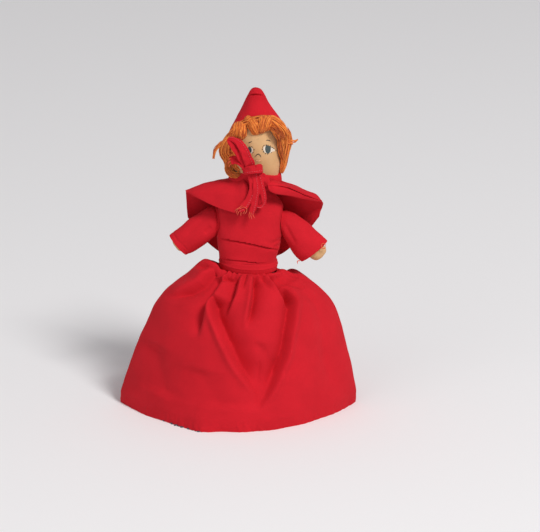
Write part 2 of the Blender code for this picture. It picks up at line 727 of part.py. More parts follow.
def cape_mesh():
    """A grid laid over the shoulders: across from tip to tip, along from the front edge to the back edge."""
    bm = bmesh.new()
    bmesh.ops.create_grid(bm, x_segments=cape_across, y_segments=cape_along, size=1.0)
    for vert in bm.verts:
        x = vert.co.x * cape_half_width
        along = (vert.co.y + 1.0) / 2.0
        ridge, front, back, front_reach, back_reach = cape_edges(x)
        if along < cape_ridge_share:
            turn = math.pi / 2.0 * along / cape_ridge_share
            y = -front_reach * math.cos(turn) ** 0.45
            z = front + (ridge - front) * math.sin(turn) ** 0.5
        else:
            turn = math.pi / 2.0 * (1.0 - along) / (1.0 - cape_ridge_share)
            lowness = 1.0 - math.sin(turn)
            wave = cape_wave * lowness * math.sin(cape_waves * math.pi * x / cape_half_width)
            y = back_reach * math.cos(turn) ** 0.3 + wave
            z = back + (ridge - back) * math.sin(turn) ** 0.5
        vert.co = (x, y, z)
    mesh = bpy.data.meshes.new("cape")
    bm.normal_update()
    bm.to_mesh(mesh)
    bm.free()
    return mesh


def make_cape(doll):
    cape = add_part("cape", cape_mesh(), doll, red_cotton, (cape_side_step, 0.0, 0.0))
    solidify(cape, cloth)
    neck_rings = [ellipse((collar_side_step, 0.0, height), collar_half_width + gap, collar_half_depth + gap,
                          collar_sides) for height in (0.0, 2.0 * neck_height)]
    cut(cape, add_cutter("cape_neck_hole", loft(neck_rings, True), doll))
    opening = box_mesh(cape_opening_left + cape_opening_right, 2.0 * cape_front_reach, 2.0 * neck_height)
    opening_place = ((cape_opening_right - cape_opening_left) / 2.0, -cape_front_reach, neck_height)
    cut(cape, add_cutter("cape_opening", opening, doll, opening_place), "MANIFOLD")


def make_tie(doll):
    middle = Vector((knot_side_step, -knot_reach, knot_height))
    knot_mesh = ellipsoid_mesh(knot_half_width, knot_half_depth, knot_half_height, knot_sides, knot_rows)
    knot = add_part("tie_knot", knot_mesh, doll, red_cotton, middle)
    knot.rotation_euler = (0.0, knot_turn, 0.0)
    strips = [("tie_long_loop", long_loop_shares, (1.0, 0.0, 0.6)),
              ("tie_short_loop", short_loop_shares, (1.0, 0.0, 0.9)),
              ("tie_left_tail", left_tail_shares, (1.0, 0.0, 0.0)),
              ("tie_right_tail", right_tail_shares, (1.0, 0.0, 0.0))]
    for name, shares, across in strips:
        corners = [middle + Vector((wide * knot_half_width, deep * knot_half_depth, high * knot_half_height))
                   for wide, deep, high in shares]
        add_part(name, strap_mesh(corners, across), doll, red_cotton)


make_skirt()
lean = add_empty("doll_lean", None, (doll_shift, 0.0, 0.0), (0.0, doll_lean, 0.0))
upper_doll = add_empty("upper_doll", lean, (0.0, 0.0, waist_height))
second_doll = add_empty("second_doll", lean, (0.0, 0.0, waist_height), (0.0, math.pi, 0.0))

upper_arms = [("left", -1, upper_left_droop, upper_left_cuff_half_width, upper_left_mitt_reach),
              ("right", 1, upper_right_droop, upper_right_cuff_half_width, upper_right_mitt_reach)]
neck, head_space = make_half_doll("upper_", upper_doll, 1.0, 1.0, 1.0, upper_arms, red_cotton, skin_cotton)
make_hood(neck, hood_edge_cutter("hood_front_space", neck, 1.0, 1.0, True))
make_hair("", neck, head_space, 1.0, 1.0, orange_yarn)
make_cape(upper_doll)
make_tie(upper_doll)

second_arms = [("left", -1, second_droop, second_cuff_half_width, second_mitt_reach),
               ("right", 1, second_droop, second_cuff_half_width, second_mitt_reach)]
second_neck, second_head_space = make_half_doll("second_", second_doll, second_girth_share,
                                                second_rise_share, second_collar_share, second_arms,
                                                dark_cotton, brown_cotton)
make_hair("second_", second_neck, second_head_space, second_girth_share, second_rise_share, dark_yarn)
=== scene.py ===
import math

import bpy
import numpy as np
from mathutils import Matrix, Vector, noise
from mathutils.bvhtree import BVHTree


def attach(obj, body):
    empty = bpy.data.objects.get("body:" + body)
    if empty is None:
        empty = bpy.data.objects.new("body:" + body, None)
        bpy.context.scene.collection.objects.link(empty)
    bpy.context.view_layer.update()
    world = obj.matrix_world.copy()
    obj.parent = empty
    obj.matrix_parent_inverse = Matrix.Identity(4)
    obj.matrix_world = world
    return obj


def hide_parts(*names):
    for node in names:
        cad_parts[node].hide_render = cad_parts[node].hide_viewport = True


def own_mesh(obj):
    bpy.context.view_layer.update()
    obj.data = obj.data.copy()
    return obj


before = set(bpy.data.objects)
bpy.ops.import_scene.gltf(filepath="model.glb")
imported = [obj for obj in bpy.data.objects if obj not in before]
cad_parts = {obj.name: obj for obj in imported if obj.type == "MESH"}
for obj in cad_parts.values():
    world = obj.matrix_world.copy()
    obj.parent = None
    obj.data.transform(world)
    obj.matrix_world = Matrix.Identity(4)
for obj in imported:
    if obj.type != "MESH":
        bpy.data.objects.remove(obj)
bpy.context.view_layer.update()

mm = 0.001
rng = np.random.default_rng(7)
print("frame loaded")

# Camera at the photograph's angle. Places on the front of the doll are given in its pixels.
view = {"across": 540, "down": 532, "pixel": 0.58 * mm, "elevation": math.radians(18.0), "distance": 2.5,
        "aim": (0.01856, 0.0, 0.0836)}
viewForward = np.array((0.0, math.cos(view["elevation"]), -math.sin(view["elevation"])))
viewUp = np.array((0.0, math.sin(view["elevation"]), math.cos(view["elevation"])))
eye = np.array(view["aim"]) - viewForward * view["distance"]
focalPixels = view["distance"] / view["pixel"]
middlePixel = np.array((view["across"] / 2, view["down"] / 2))


def toPhoto(points):
    away = np.asarray(points, float) - eye
    near = away @ viewForward
    return np.stack((middlePixel[0] + focalPixels * away[:, 0] / near,
                     middlePixel[1] - focalPixels * (away @ viewUp) / near), axis=1)


def photoRay(px, py):
    ray = viewForward * focalPixels + np.array((px - middlePixel[0], 0.0, 0.0)) + viewUp * (middlePixel[1] - py)
    return ray / np.linalg.norm(ray)


def fromPhoto(px, py, depth):
    # the point seen at that pixel, depth metres behind the doll's middle plane
    ray = photoRay(px, py)
    return Vector(eye + ray * ((depth - eye[1]) / ray[1]))


def addCamera():
    bpy.ops.object.camera_add(location=eye, rotation=(math.pi / 2 - view["elevation"], 0.0, 0.0))
    camera = bpy.context.object
    camera.data.lens = focalPixels / view["across"] * camera.data.sensor_width
    camera.data.clip_start = 0.05
    bpy.context.scene.camera = camera


addCamera()

# The two half dolls lean together; each has its own frame, upwards from the waist
doll = {"waist": 82 * mm, "lean": math.radians(3.0), "shift": 1.5 * mm}
leanFrame = Matrix.Translation((doll["shift"], 0, 0)) @ Matrix.Rotation(doll["lean"], 4, "Y")
upperFrame = leanFrame @ Matrix.Translation((0, 0, doll["waist"]))
secondFrame = upperFrame @ Matrix.Rotation(math.pi, 4, "Y")


# Mesh helpers
def pointsOf(piece):
    flat = np.zeros(len(piece.data.vertices) * 3, np.float32)
    piece.data.vertices.foreach_get("co", flat)
    return flat.reshape(-1, 3).astype(float)


def normalsOf(piece):
    flat = np.zeros(len(piece.data.vertices) * 3, np.float32)
    piece.data.vertex_normals.foreach_get("vector", flat)
    return flat.reshape(-1, 3).astype(float)


def setPoints(piece, points):
    piece.data.vertices.foreach_set("co", np.asarray(points, np.float32).ravel())
    piece.data.update()


def moved(points, matrix):
    turn = np.array(matrix.to_3x3())
    return np.asarray(points) @ turn.T + np.array(matrix.translation)


def pick(piece):
    bpy.ops.object.select_all(action="DESELECT")
    piece.select_set(True)
    bpy.context.view_layer.objects.active = piece


def inEditMode(piece, work):
    pick(piece)
    bpy.ops.object.mode_set(mode="EDIT")
    bpy.ops.mesh.select_all(action="SELECT")
    work()
    bpy.ops.object.mode_set(mode="OBJECT")


def faceOutwards(piece, centre=None):
    # turns the faces round if most look at the middle
    points, normals = pointsOf(piece), normalsOf(piece)
    middle = points.mean(axis=0) if centre is None else np.array(centre)
    if ((points - middle) * normals).sum() < 0:
        inEditMode(piece, bpy.ops.mesh.flip_normals)


def gridPiece(name, across, along, place, cut, sewn=False):
    # a grid laid out by place(u, v); cut is the cloth's flat size, and its UV map is in metres of cloth
    bpy.ops.object.select_all(action="DESELECT")
    bpy.ops.mesh.primitive_grid_add(x_subdivisions=across, y_subdivisions=along, size=2.0)
    piece = bpy.context.object
    piece.name = piece.data.name = name
    spots = (pointsOf(piece) + 1.0) / 2.0
    setPoints(piece, place(spots[:, 0], spots[:, 1]))
    layer = piece.data.uv_layers.active.data
    flat = np.zeros(len(layer) * 2, np.float32)
    layer.foreach_get("uv", flat)
    layer.foreach_set("uv", (flat.reshape(-1, 2) * np.array(cut, np.float32)).ravel())
    if sewn:
        inEditMode(piece, lambda: bpy.ops.mesh.remove_doubles(threshold=0.01 * mm))
    return piece


def applyModifier(piece, kind, **settings):
    pick(piece)
    modifier = piece.modifiers.new(kind.lower(), kind)
    for name, value in settings.items():
        setattr(modifier, name, value)
    bpy.ops.object.modifier_apply(modifier=modifier.name)


def thicken(piece, thickness, offset=-1.0):
    applyModifier(piece, "SOLIDIFY", thickness=thickness, offset=offset)


def smooth(piece, angle=55.0):
    pick(piece)
    bpy.ops.object.shade_smooth_by_angle(angle=math.radians(angle))


def between(rows, share, pickRow):
    # a smooth curve through rows, share from 0 at the first to 1 at the last
    padded = np.concatenate(([2 * rows[0] - rows[1]], rows, [2 * rows[-1] - rows[-2]]))
    place = np.clip(np.asarray(share, float), 0, 1) * (len(rows) - 1)
    start = np.minimum(place.astype(int), len(rows) - 2)
    t = (place - start)[:, None]
    a, b, c, d = (pickRow(padded, start + step) for step in range(4))
    return 0.5 * (2 * b + (c - a) * t + (2 * a - 5 * b + 4 * c - d) * t ** 2 + (3 * b - a - 3 * c + d) * t ** 3)


def alongTable(table, share):
    # smooth values read between the rows of a table, one array for each column
    return between(np.array(table, float), share, lambda padded, row: padded[row]).T


def alongValues(values, share):
    return alongTable([(value,) for value in values], share)[0]


def foldDepth(seen, route, left, right):
    # a fold line in photo pixels; left and right are depth in mm and width in pixels beside it
    route = np.array(route, float)
    steps = np.linalg.norm(np.diff(route, axis=0), axis=1)
    before = np.concatenate(([0.0], np.cumsum(steps)))
    nearest = np.full(len(seen), 1e9)
    side, share = np.zeros(len(seen)), np.zeros(len(seen))
    for start, end, size, gone in zip(route, route[1:], steps, before):
        step = end - start
        along = np.clip(((seen - start) @ step) / size ** 2, 0, 1)
        offset = seen - (start + along[:, None] * step)
        away = np.linalg.norm(offset, axis=1)
        closer = away < nearest
        nearest = np.where(closer, away, nearest)
        side = np.where(closer, offset[:, 0] * step[1] - offset[:, 1] * step[0], side)
        share = np.where(closer, (gone + along * size) / before[-1], share)
    fade = np.minimum(1, 4 * share + 0.2) * np.minimum(1, 4 * (1 - share) + 0.1)
    depth = np.where(side > 0, right[0] * np.exp(-(nearest / right[1]) ** 2),
                     left[0] * np.exp(-(nearest / left[1]) ** 2))
    return depth * fade * mm


def pressFolds(piece, folds, behind=False):
    points, normals = pointsOf(piece), normalsOf(piece)
    towards = normals[:, 1] if behind else -normals[:, 1]
    seen = toPhoto(points * np.array((1, -1 if behind else 1, 1)))
    depth = sum(foldDepth(seen, *fold) for fold in folds) * np.clip(towards * 2.5 + 0.35, 0, 1)
    setPoints(piece, points - normals * depth[:, None])


def softNoise(points, size, seed):
    return np.array([noise.noise(Vector(point) / size + Vector((seed, 0, 0))) for point in points])


def roughen(piece, size, amount, seed=0.0):
    # slow unevenness of soft cloth or stuffing, in metres
    points = pointsOf(piece)
    setPoints(piece, points + normalsOf(piece) * (softNoise(points, size, seed) * amount)[:, None])


def pressSeam(piece, away, width, depth, where=1.0):
    # a sewn seam, pressed in where away is near 0
    groove = np.exp(-(away / width) ** 2) * where * depth
    setPoints(piece, pointsOf(piece) - normalsOf(piece) * groove[:, None])


# Materials
def colour(hexCode):
    values = [int(hexCode[place:place + 2], 16) / 255 for place in (0, 2, 4)]
    return tuple(c / 12.92 if c <= 0.04045 else ((c + 0.055) / 1.055) ** 2.4 for c in values) + (1.0,)


def addNode(material, kind, values=None, links=None, **settings):
    node = material.node_tree.nodes.new(kind)
    for name, value in settings.items():
        setattr(node, name, value)
    for name, value in (values or {}).items():
        node.inputs[name].default_value = value
    for name, source in (links or {}).items():
        material.node_tree.links.new(source, node.inputs[name])
    return node


def newMaterial(name, roughness):
    material = bpy.data.materials.new(name)
    material.use_nodes = True
    shader = material.node_tree.nodes["Principled BSDF"]
    shader.inputs["Roughness"].default_value = roughness
    return material, shader, material.node_tree.links


weave = {"patch": 14 * mm, "fleck": 0.9 * mm, "threadDepth": 0.15 * mm, "spin": 0.5 * mm, "fibreDepth": 0.08 * mm}


def clothMaterial(name, base, shade, thread, bump, sheen=0.25, dots=None):
    # plain woven cotton: crossing threads on the cloth's own UV, and a slow and a fine unevenness of its dye
    material, shader, links = newMaterial(name, 0.9)
    shader.inputs["Sheen Weight"].default_value = sheen
    shader.inputs["Sheen Roughness"].default_value = 0.6
    shader.inputs["Specular IOR Level"].default_value = 0.25
    spots = addNode(material, "ShaderNodeTexCoord")
    threads = {"Scale": 2 * math.pi / (20 * thread), "Distortion": 0.6, "Detail": 1.0}      # its period is 2 pi / 20
    weft = addNode(material, "ShaderNodeTexWave", threads, {"Vector": spots.outputs["UV"]}, bands_direction="X")
    warp = addNode(material, "ShaderNodeTexWave", threads, {"Vector": spots.outputs["UV"]}, bands_direction="Y")
    crossed = addNode(material, "ShaderNodeMath", None, {0: weft.outputs["Fac"], 1: warp.outputs["Fac"]},
                      operation="MULTIPLY")
    slow = addNode(material, "ShaderNodeTexNoise", {"Scale": 1 / weave["patch"], "Detail": 3.0},
                   {"Vector": spots.outputs["Object"]})
    fine = addNode(material, "ShaderNodeTexNoise", {"Scale": 1 / weave["fleck"], "Detail": 2.0},
                   {"Vector": spots.outputs["Object"]})
    blend = addNode(material, "ShaderNodeMath", {1: 0.35}, {0: fine.outputs["Fac"], 2: slow.outputs["Fac"]},
                    operation="MULTIPLY_ADD")
    tone = addNode(material, "ShaderNodeMapRange", {"From Min": 0.1, "From Max": 0.9},
                   {"Value": blend.outputs["Value"]})
    mixed = addNode(material, "ShaderNodeMix", {6: colour(shade), 7: colour(base)},
                    {0: tone.outputs["Result"]}, data_type="RGBA")
    finished = mixed.outputs[2]
    if dots:
        # small printed dots in even rows
        cells = addNode(material, "ShaderNodeTexVoronoi", {"Scale": 1 / dots["spacing"], "Randomness": 0.0},
                        {"Vector": spots.outputs["UV"]})
        inside = addNode(material, "ShaderNodeMath", {1: dots["radius"] / dots["spacing"]},
                         {0: cells.outputs["Distance"]}, operation="LESS_THAN")
        dotted = addNode(material, "ShaderNodeMix", {7: colour(dots["hex"])},
                         {0: inside.outputs["Value"], 6: finished}, data_type="RGBA")
        finished = dotted.outputs[2]
    links.new(finished, shader.inputs["Base Color"])
    pressed = addNode(material, "ShaderNodeBump", {"Strength": bump, "Distance": weave["threadDepth"]},
                      {"Height": crossed.outputs["Value"]})
    links.new(pressed.outputs["Normal"], shader.inputs["Normal"])
    return material


def yarnMaterial(name, dark, base, light):
    # fine spun yarn: each strand its own tone, with fibres running along it
    material, shader, links = newMaterial(name, 0.7)
    shader.inputs["Sheen Weight"].default_value = 0.1
    shader.inputs["Specular IOR Level"].default_value = 0.35
    # pieces without strandTone read 0 here: the packed cores inside the locks take the darkest tones, as painted shade
    # deep between the strands
    strand = addNode(material, "ShaderNodeAttribute", attribute_name="strandTone")
    spots = addNode(material, "ShaderNodeTexCoord")
    uneven = addNode(material, "ShaderNodeTexNoise", {"Scale": 1 / (1.6 * mm), "Detail": 3.0},
                     {"Vector": spots.outputs["Object"]})
    tone = addNode(material, "ShaderNodeMath", {1: 0.5}, {0: uneven.outputs["Fac"], 2: strand.outputs["Fac"]},
                   operation="MULTIPLY_ADD")
    ramp = addNode(material, "ShaderNodeValToRGB", None, {"Fac": tone.outputs["Value"]})
    ramp.color_ramp.elements[0].position, ramp.color_ramp.elements[0].color = 0.15, colour(dark)
    ramp.color_ramp.elements[1].position, ramp.color_ramp.elements[1].color = 1.15, colour(light)
    middle = ramp.color_ramp.elements.new(0.62)
    middle.color = colour(base)
    links.new(ramp.outputs["Color"], shader.inputs["Base Color"])
    twist = addNode(material, "ShaderNodeTexWave", {"Scale": 2 * math.pi / (20 * weave["spin"]), "Distortion": 2.0},
                    {"Vector": spots.outputs["Object"]}, bands_direction="DIAGONAL")
    raised = addNode(material, "ShaderNodeBump", {"Strength": 0.25, "Distance": weave["fibreDepth"]},
                     {"Height": twist.outputs["Fac"]})
    links.new(raised.outputs["Normal"], shader.inputs["Normal"])
    return material


def inkMaterial(name, hexCode):
    # fabric paint: a thin matt film, a little patchy where the cloth took it up
    material, shader, links = newMaterial(name, 0.6)
    spots = addNode(material, "ShaderNodeTexCoord")
    patchy = addNode(material, "ShaderNodeTexNoise", {"Scale": 1 / (0.6 * mm), "Detail": 2.0},
                     {"Vector": spots.outputs["Object"]})
    paler = tuple(min(1.0, c * 1.35 + 0.01) for c in colour(hexCode)[:3]) + (1.0,)
    mixed = addNode(material, "ShaderNodeMix", {6: colour(hexCode), 7: paler}, {0: patchy.outputs["Fac"]},
                    data_type="RGBA")
    links.new(mixed.outputs[2], shader.inputs["Base Color"])
    return material


# the real threads are about 0.3 mm apart, drawn at 0.45 mm so that they show
redCotton = clothMaterial("red dress cotton", "CC1625", "B6101E", 0.45 * mm, 0.3, sheen=0.0)
darkCotton = clothMaterial("dark dotted cotton", "3A2F42", "2A2130", 0.45 * mm, 0.35,
                           dots={"spacing": 3.2 * mm, "radius": 0.45 * mm, "hex": "D9CFC0"})
tanCloth = clothMaterial("tan stuffed cotton", "D4A97A", "C69762", 0.5 * mm, 0.2, sheen=0.05)
brownCloth = clothMaterial("brown stuffed cotton", "8A5A3C", "74482E", 0.5 * mm, 0.2, sheen=0.15)
orangeYarn = yarnMaterial("orange yarn", "9A3E12", "D2661E", "F4943C")
darkYarn = yarnMaterial("dark yarn", "1A100D", "2E1F19", "4A352B")
paleThread = clothMaterial("pale red sewing thread", "E2606A", "D04854", 0.3 * mm, 0.3)
redThread = clothMaterial("red sewing thread", "E4522E", "CC3C22", 0.3 * mm, 0.3)
inkDark = inkMaterial("dark blue-grey fabric paint", "35403F")
inkLine = inkMaterial("fine dark paint line", "3C322A")
inkWhite = inkMaterial("white fabric paint", "CFC0AE")
inkPink = inkMaterial("faded pink fabric paint", "D8A67C")
print("materials ready")


def dress(piece, body, nodes, material):
    # its material, the body that it rides on and the CAD nodes that it stands for
    piece.data.materials.clear()
    piece.data.materials.append(material)
    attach(piece, body)
    if nodes:
        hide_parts(*nodes)


# Skirt: one gathered width of red cotton, and the second doll's dark skirt inside it
skirt = {
    "hemHalfWidth": 69 * mm, "hemHalfDepth": 52 * mm, "waistHalfWidth": 16.7 * mm, "waistHalfDepth": 12.7 * mm,
    "cut": (400 * mm, 118 * mm), "cutShare": 0.84,          # flat size; the share that the gathers leave of it
    "mesh": (384, 124), "liningMesh": (320, 110), "liningStep": 1.5 * mm,
    "settle": 48 * mm,                                      # below this height the doll's lean dies out
    "keep": 1 - 57 * mm / doll["waist"],                    # lifted, the hem is 57 mm higher
    "leftSwell": 0.035, "bulge": 4.4 * mm, "bulgeHeight": 34 * mm,
    "frontRise": 1.6 * mm, "frontDip": 1.1 * mm, "leftPuff": 2.9 * mm, "rightDrop": 3.6 * mm, "backDrop": 6.4 * mm,
    "pleats": 24, "pleatDepth": 0.75 * mm, "slip": 2.9 * mm,
    # height and reach, as shares, from the waist to the hem
    "profile": [(1.0, 0.0), (1.032, 0.10), (1.0, 0.215), (0.945, 0.335), (0.87, 0.49), (0.76, 0.635),
                (0.62, 0.735), (0.42, 0.845), (0.22, 0.945), (0.085, 1.0), (0.0, 0.997)],
}
# Each fold: -1 for the front or 1 for the back, its valley as shares down and across the skirt, then in mm
# its depth, its width to the left and to the right, and the lip of cloth over its steep side
skirtFolds = [
    (-1, [(0.36, -0.49), (0.43, -0.425), (0.49, -0.35), (0.59, -0.21), (0.66, -0.07), (0.73, 0.09),
          (0.79, 0.20)], 8.6, 1.4, 9.0, 2.0),
    (-1, [(0.28, 0.69), (0.38, 0.66), (0.47, 0.55), (0.58, 0.46), (0.66, 0.41), (0.72, 0.335),
          (0.80, 0.21), (0.85, 0.14)], 7.2, 6.0, 1.35, 1.6),
    (-1, [(0.08, 0.60), (0.15, 0.585), (0.29, 0.56), (0.44, 0.61)], 7.4, 1.4, 6.0, 1.4),
    (-1, [(0.08, 0.19), (0.16, 0.165), (0.31, 0.118), (0.54, 0.02)], 6.4, 1.3, 4.4, 1.2),
    (-1, [(0.08, -0.235), (0.175, -0.239), (0.355, -0.226), (0.48, -0.285)], 5.6, 5.0, 1.3, 1.3),
    (-1, [(0.19, -0.575), (0.33, -0.564), (0.43, -0.551), (0.51, -0.524), (0.61, -0.505)], 5.6, 5.5, 1.7, 1.2),
    (-1, [(0.06, -0.70), (0.15, -0.735), (0.30, -0.745), (0.43, -0.86), (0.48, -0.93)], 5.4, 1.8, 5.5, 1.2),
    (-1, [(0.05, -0.47), (0.16, -0.46), (0.26, -0.50)], 2.4, 1.2, 2.4, 0.3),
    (-1, [(0.05, -0.05), (0.18, -0.07), (0.30, -0.09)], 1.5, 1.8, 1.0, 0.2),
    (-1, [(0.05, 0.38), (0.18, 0.39), (0.30, 0.40)], 1.2, 1.4, 2.0, 0.2),
    (-1, [(0.06, 0.80), (0.22, 0.83), (0.36, 0.88)], 1.6, 1.6, 3.0, 0.2),
    (-1, [(0.35, 0.88), (0.52, 0.84), (0.70, 0.81), (0.86, 0.81)], 1.5, 4.0, 5.0, 0.0),
    (-1, [(0.06, -0.62), (0.11, -0.78), (0.17, -0.90), (0.24, -0.97)], 2.6, 1.4, 3.6, 0.6),
    (-1, [(0.05, -0.36), (0.12, -0.40), (0.20, -0.44)], 2.2, 1.3, 2.2, 0.6),
    (-1, [(0.66, -0.86), (0.74, -0.74), (0.84, -0.60)], 2.1, 8.0, 8.0, 0.0),
    (-1, [(0.70, -0.42), (0.78, -0.24), (0.84, -0.10)], 1.9, 9.0, 9.0, 0.0),
    (-1, [(0.60, 0.13), (0.68, 0.33), (0.74, 0.45)], 1.4, 3.0, 4.0, 0.0),
    (-1, [(0.66, 0.18), (0.75, 0.18), (0.86, 0.19)], 0.9, 2.6, 2.6, 0.0),
    (1, [(0.08, -0.66), (0.30, -0.60), (0.55, -0.68), (0.80, -0.76)], 6.0, 3.0, 8.0, 1.0),
    (1, [(0.08, -0.30), (0.30, -0.24), (0.50, -0.30), (0.74, -0.36)], 6.6, 8.5, 2.8, 1.1),
    (1, [(0.08, 0.12), (0.34, 0.06), (0.60, 0.12), (0.84, 0.14)], 6.6, 2.8, 8.5, 1.1),
    (1, [(0.08, 0.42), (0.26, 0.46), (0.44, 0.50)], 3.6, 3.0, 2.0, 0.6),
    (1, [(0.08, 0.70), (0.34, 0.66), (0.56, 0.60), (0.78, 0.58)], 6.0, 8.0, 3.0, 1.0),
]


def skirtPlace(turn, up):
    high, reach = alongTable(skirt["profile"], 1.0 - up)
    height = high * doll["waist"]
    reach = np.clip(reach, 0, 1)
    halfWidth = skirt["waistHalfWidth"] + reach * (skirt["hemHalfWidth"] - skirt["waistHalfWidth"])
    halfDepth = skirt["waistHalfDepth"] + reach * (skirt["hemHalfDepth"] - skirt["waistHalfDepth"])
    middle = (doll["shift"] + height * math.sin(doll["lean"])) * np.minimum(1.0, height / skirt["settle"])
    turn = turn % 1.0
    side = np.where(turn < 0.5, 1.0, -1.0)
    even = 1.0 - 4.0 * np.minimum(turn, 1.0 - turn)
    across = (np.cos(2 * np.pi * turn) + even) / 2
    swell = skirt["leftSwell"] * np.sin(np.pi * np.clip((1 - up) / 0.85, 0, 1)) * np.maximum(0, -across)
    x = halfWidth * across * (1 + swell)
    y = halfDepth * side * np.maximum(0.0, 1.0 - across ** 2) ** (0.5 + 0.38 * reach)
    # left of the front's middle the hem bulges forward
    bulge = np.exp(-((across + 0.34) / 0.13) ** 2) * (side < 0)
    bulge *= np.clip(1 - height / skirt["bulgeHeight"], 0, 1) ** 1.5
    y -= skirt["bulge"] * bulge
    z = height - x * math.sin(doll["lean"]) * (1.0 - reach)
    # the seam is higher in front, and the cloth doesn't rise past it there
    front = (1 - across ** 2) * (side < 0)
    z += front * (skirt["frontRise"] * np.exp(-((1 - up) / 0.06) ** 2)
                  - skirt["frontDip"] * np.exp(-((0.88 - up) / 0.07) ** 2))
    # at the left the gathers stand up in a puff, and behind and at the right they lie lower
    z += skirt["leftPuff"] * np.maximum(0, -across) ** 1.3 * np.exp(-((0.83 - up) / 0.10) ** 2)
    z -= skirt["rightDrop"] * np.maximum(0, across) * np.exp(-((0.85 - up) / 0.08) ** 2)
    behind = (side > 0) * np.sqrt(np.maximum(0, 1 - across ** 2)) * np.clip((1 - up) / 0.05, 0, 1)
    z -= skirt["backDrop"] * behind * np.exp(-((0.90 - up) / 0.12) ** 2)
    return np.stack((middle + x, y, z), axis=1), across, side, halfWidth


def skirtFoldDepth(across, side, down, halfWidth):
    depth = np.zeros(len(across))
    for foldSide, route, deep, left, right, lip in skirtFolds:
        downs, places = np.array(route).T
        place = np.interp(down, downs, places)
        slope = (np.interp(down + 0.02, downs, places) - np.interp(down - 0.02, downs, places)) / 0.04
        slope *= halfWidth / skirt["cut"][1]
        away = (across - place) * halfWidth / np.sqrt(1 + slope ** 2) / mm
        share = (down - downs[0]) / (downs[-1] - downs[0])
        fade = np.clip(share / 0.16 + 0.15, 0, 1) * np.clip((1 - share) / 0.26 + 0.05, 0, 1)
        fade = np.where((share < -0.3) | (share > 1.15), 0, fade * fade * (3 - 2 * fade))
        width = np.where(away < 0, left, right) * (0.55 + 0.45 * np.clip(share * 2.5, 0, 1))
        steep = -1 if left < right else 1
        crest = np.exp(-((away * steep - 1.9 * min(left, right)) / (1.5 * min(left, right))) ** 2)
        power = np.where((away < 0) == (left > right), 1.25, 2.0)      # steepest beside the valley
        shape = deep * np.exp(-(np.abs(away) / width) ** power) - lip * crest
        depth += np.where(side == foldSide, shape * fade, 0)
    return depth * mm


def unevenTurn(u):
    # more columns of cloth at the front, where the folds are
    return np.where(u < 0.32, u / 0.32 * 0.5, 0.5 + (u - 0.32) / 0.68 * 0.5)


def gathers(turn, down):
    # small uneven pleats that start in the waist seam and die out down the skirt
    wobble = 0.7 * np.sin(2 * np.pi * 3 * turn + 1.0) + 0.5 * np.sin(2 * np.pi * 7 * turn + 2.2)
    wave = np.sin(2 * np.pi * skirt["pleats"] * turn + 2.6 * wobble)
    strength = np.clip((0.34 - down) / 0.3, 0, 1) ** 1.5 * np.clip(down / 0.04 + 0.3, 0, 1)
    uneven = 0.55 + 0.45 * np.sin(2 * np.pi * 5 * turn + 0.4)
    return skirt["pleatDepth"] * strength * uneven * (wave - 0.5)


def skirtCloth(inset):
    def place(u, v):
        turn = unevenTurn(u)
        points, across, side, halfWidth = skirtPlace(turn, v)
        round_ = skirtPlace(turn + 0.004, v)[0] - skirtPlace(turn - 0.004, v)[0]
        upwards = skirtPlace(turn, np.minimum(v + 0.004, 1))[0] - skirtPlace(turn, np.maximum(v - 0.004, 0))[0]
        normals = np.cross(round_, upwards)
        normals /= np.linalg.norm(normals, axis=1)[:, None]
        down = 1 - v
        shift = gathers(turn, down) - skirtFoldDepth(across, side, down, halfWidth)
        shift += 0.9 * mm * softNoise(points, 24 * mm, 3.0) + 0.15 * mm * softNoise(points, 7 * mm, 9.0)
        # the lining hangs inside: straight below and in from the outer cloth near the waist, behind it lower down
        nearWaist = np.clip((0.24 - down) / 0.12, 0, 1)
        shift = shift * np.clip((1 - down) / 0.1, 0, 1) - inset * (1 - nearWaist)
        spots = points + normals * shift[:, None]
        centre = np.stack((doll["shift"] + spots[:, 2] * math.sin(doll["lean"]), 0 * down, spots[:, 2]), axis=1)
        inward = (centre - spots) / np.linalg.norm(centre - spots, axis=1)[:, None]
        spots += inset * (0.9 * inward - np.array((0, 0, 1.7))) * nearWaist[:, None]
        low = np.clip(1 - points[:, 2] / (8 * mm), 0, 1)
        uneven = softNoise(points, 4.5 * mm, 21.0)
        pucker = (0.14 + 0.3 * uneven) * np.sin(points[:, 0] / (0.66 * mm) + 4 * uneven)
        pucker += 0.3 * np.sin(points[:, 0] / (2.9 * mm) + 1.0)
        spots += normals * (pucker * low * mm)[:, None]
        if inset:
            # the lining's edge slips out a little at the front's left
            slipped = np.exp(-((across + 0.50) / 0.30) ** 2) * (side < 0)
            slipped *= np.clip(1 - points[:, 2] / (2.2 * mm), 0, 1)
            slipped *= np.clip(0.72 + 0.9 * softNoise(points, 2.6 * mm, 33.0), 0, 1)
            spots += normals * (slipped * skirt["slip"])[:, None]
        spots[:, 2] = np.maximum(spots[:, 2], 0.05 * mm)
        return spots
    return place


def makeSkirt(name, inset, mesh, node, material):
    piece = gridPiece(name, *mesh, skirtCloth(inset), skirt["cut"], sewn=True)
    faceOutwards(piece)
    thicken(piece, 0.5 * mm)
    smooth(piece)
    dress(piece, "dolls", [node], material)
    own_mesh(piece)
    return piece


makeSkirt("skirtOuter", 0.0, skirt["mesh"], "skirt_outer", redCotton)
skirtLining = makeSkirt("skirtLining", skirt["liningStep"], skirt["liningMesh"], "skirt_lining",
                        darkCotton)


# Hem: the edge of both skirts, turned up inside and sewn
hemShape = {"cut": (370 * mm, 11.5 * mm), "low": 0.4 * mm, "height": 5.4 * mm,
            "inset": 3.4 * mm, "foldInset": 1.6 * mm, "backInset": 0.5 * mm}


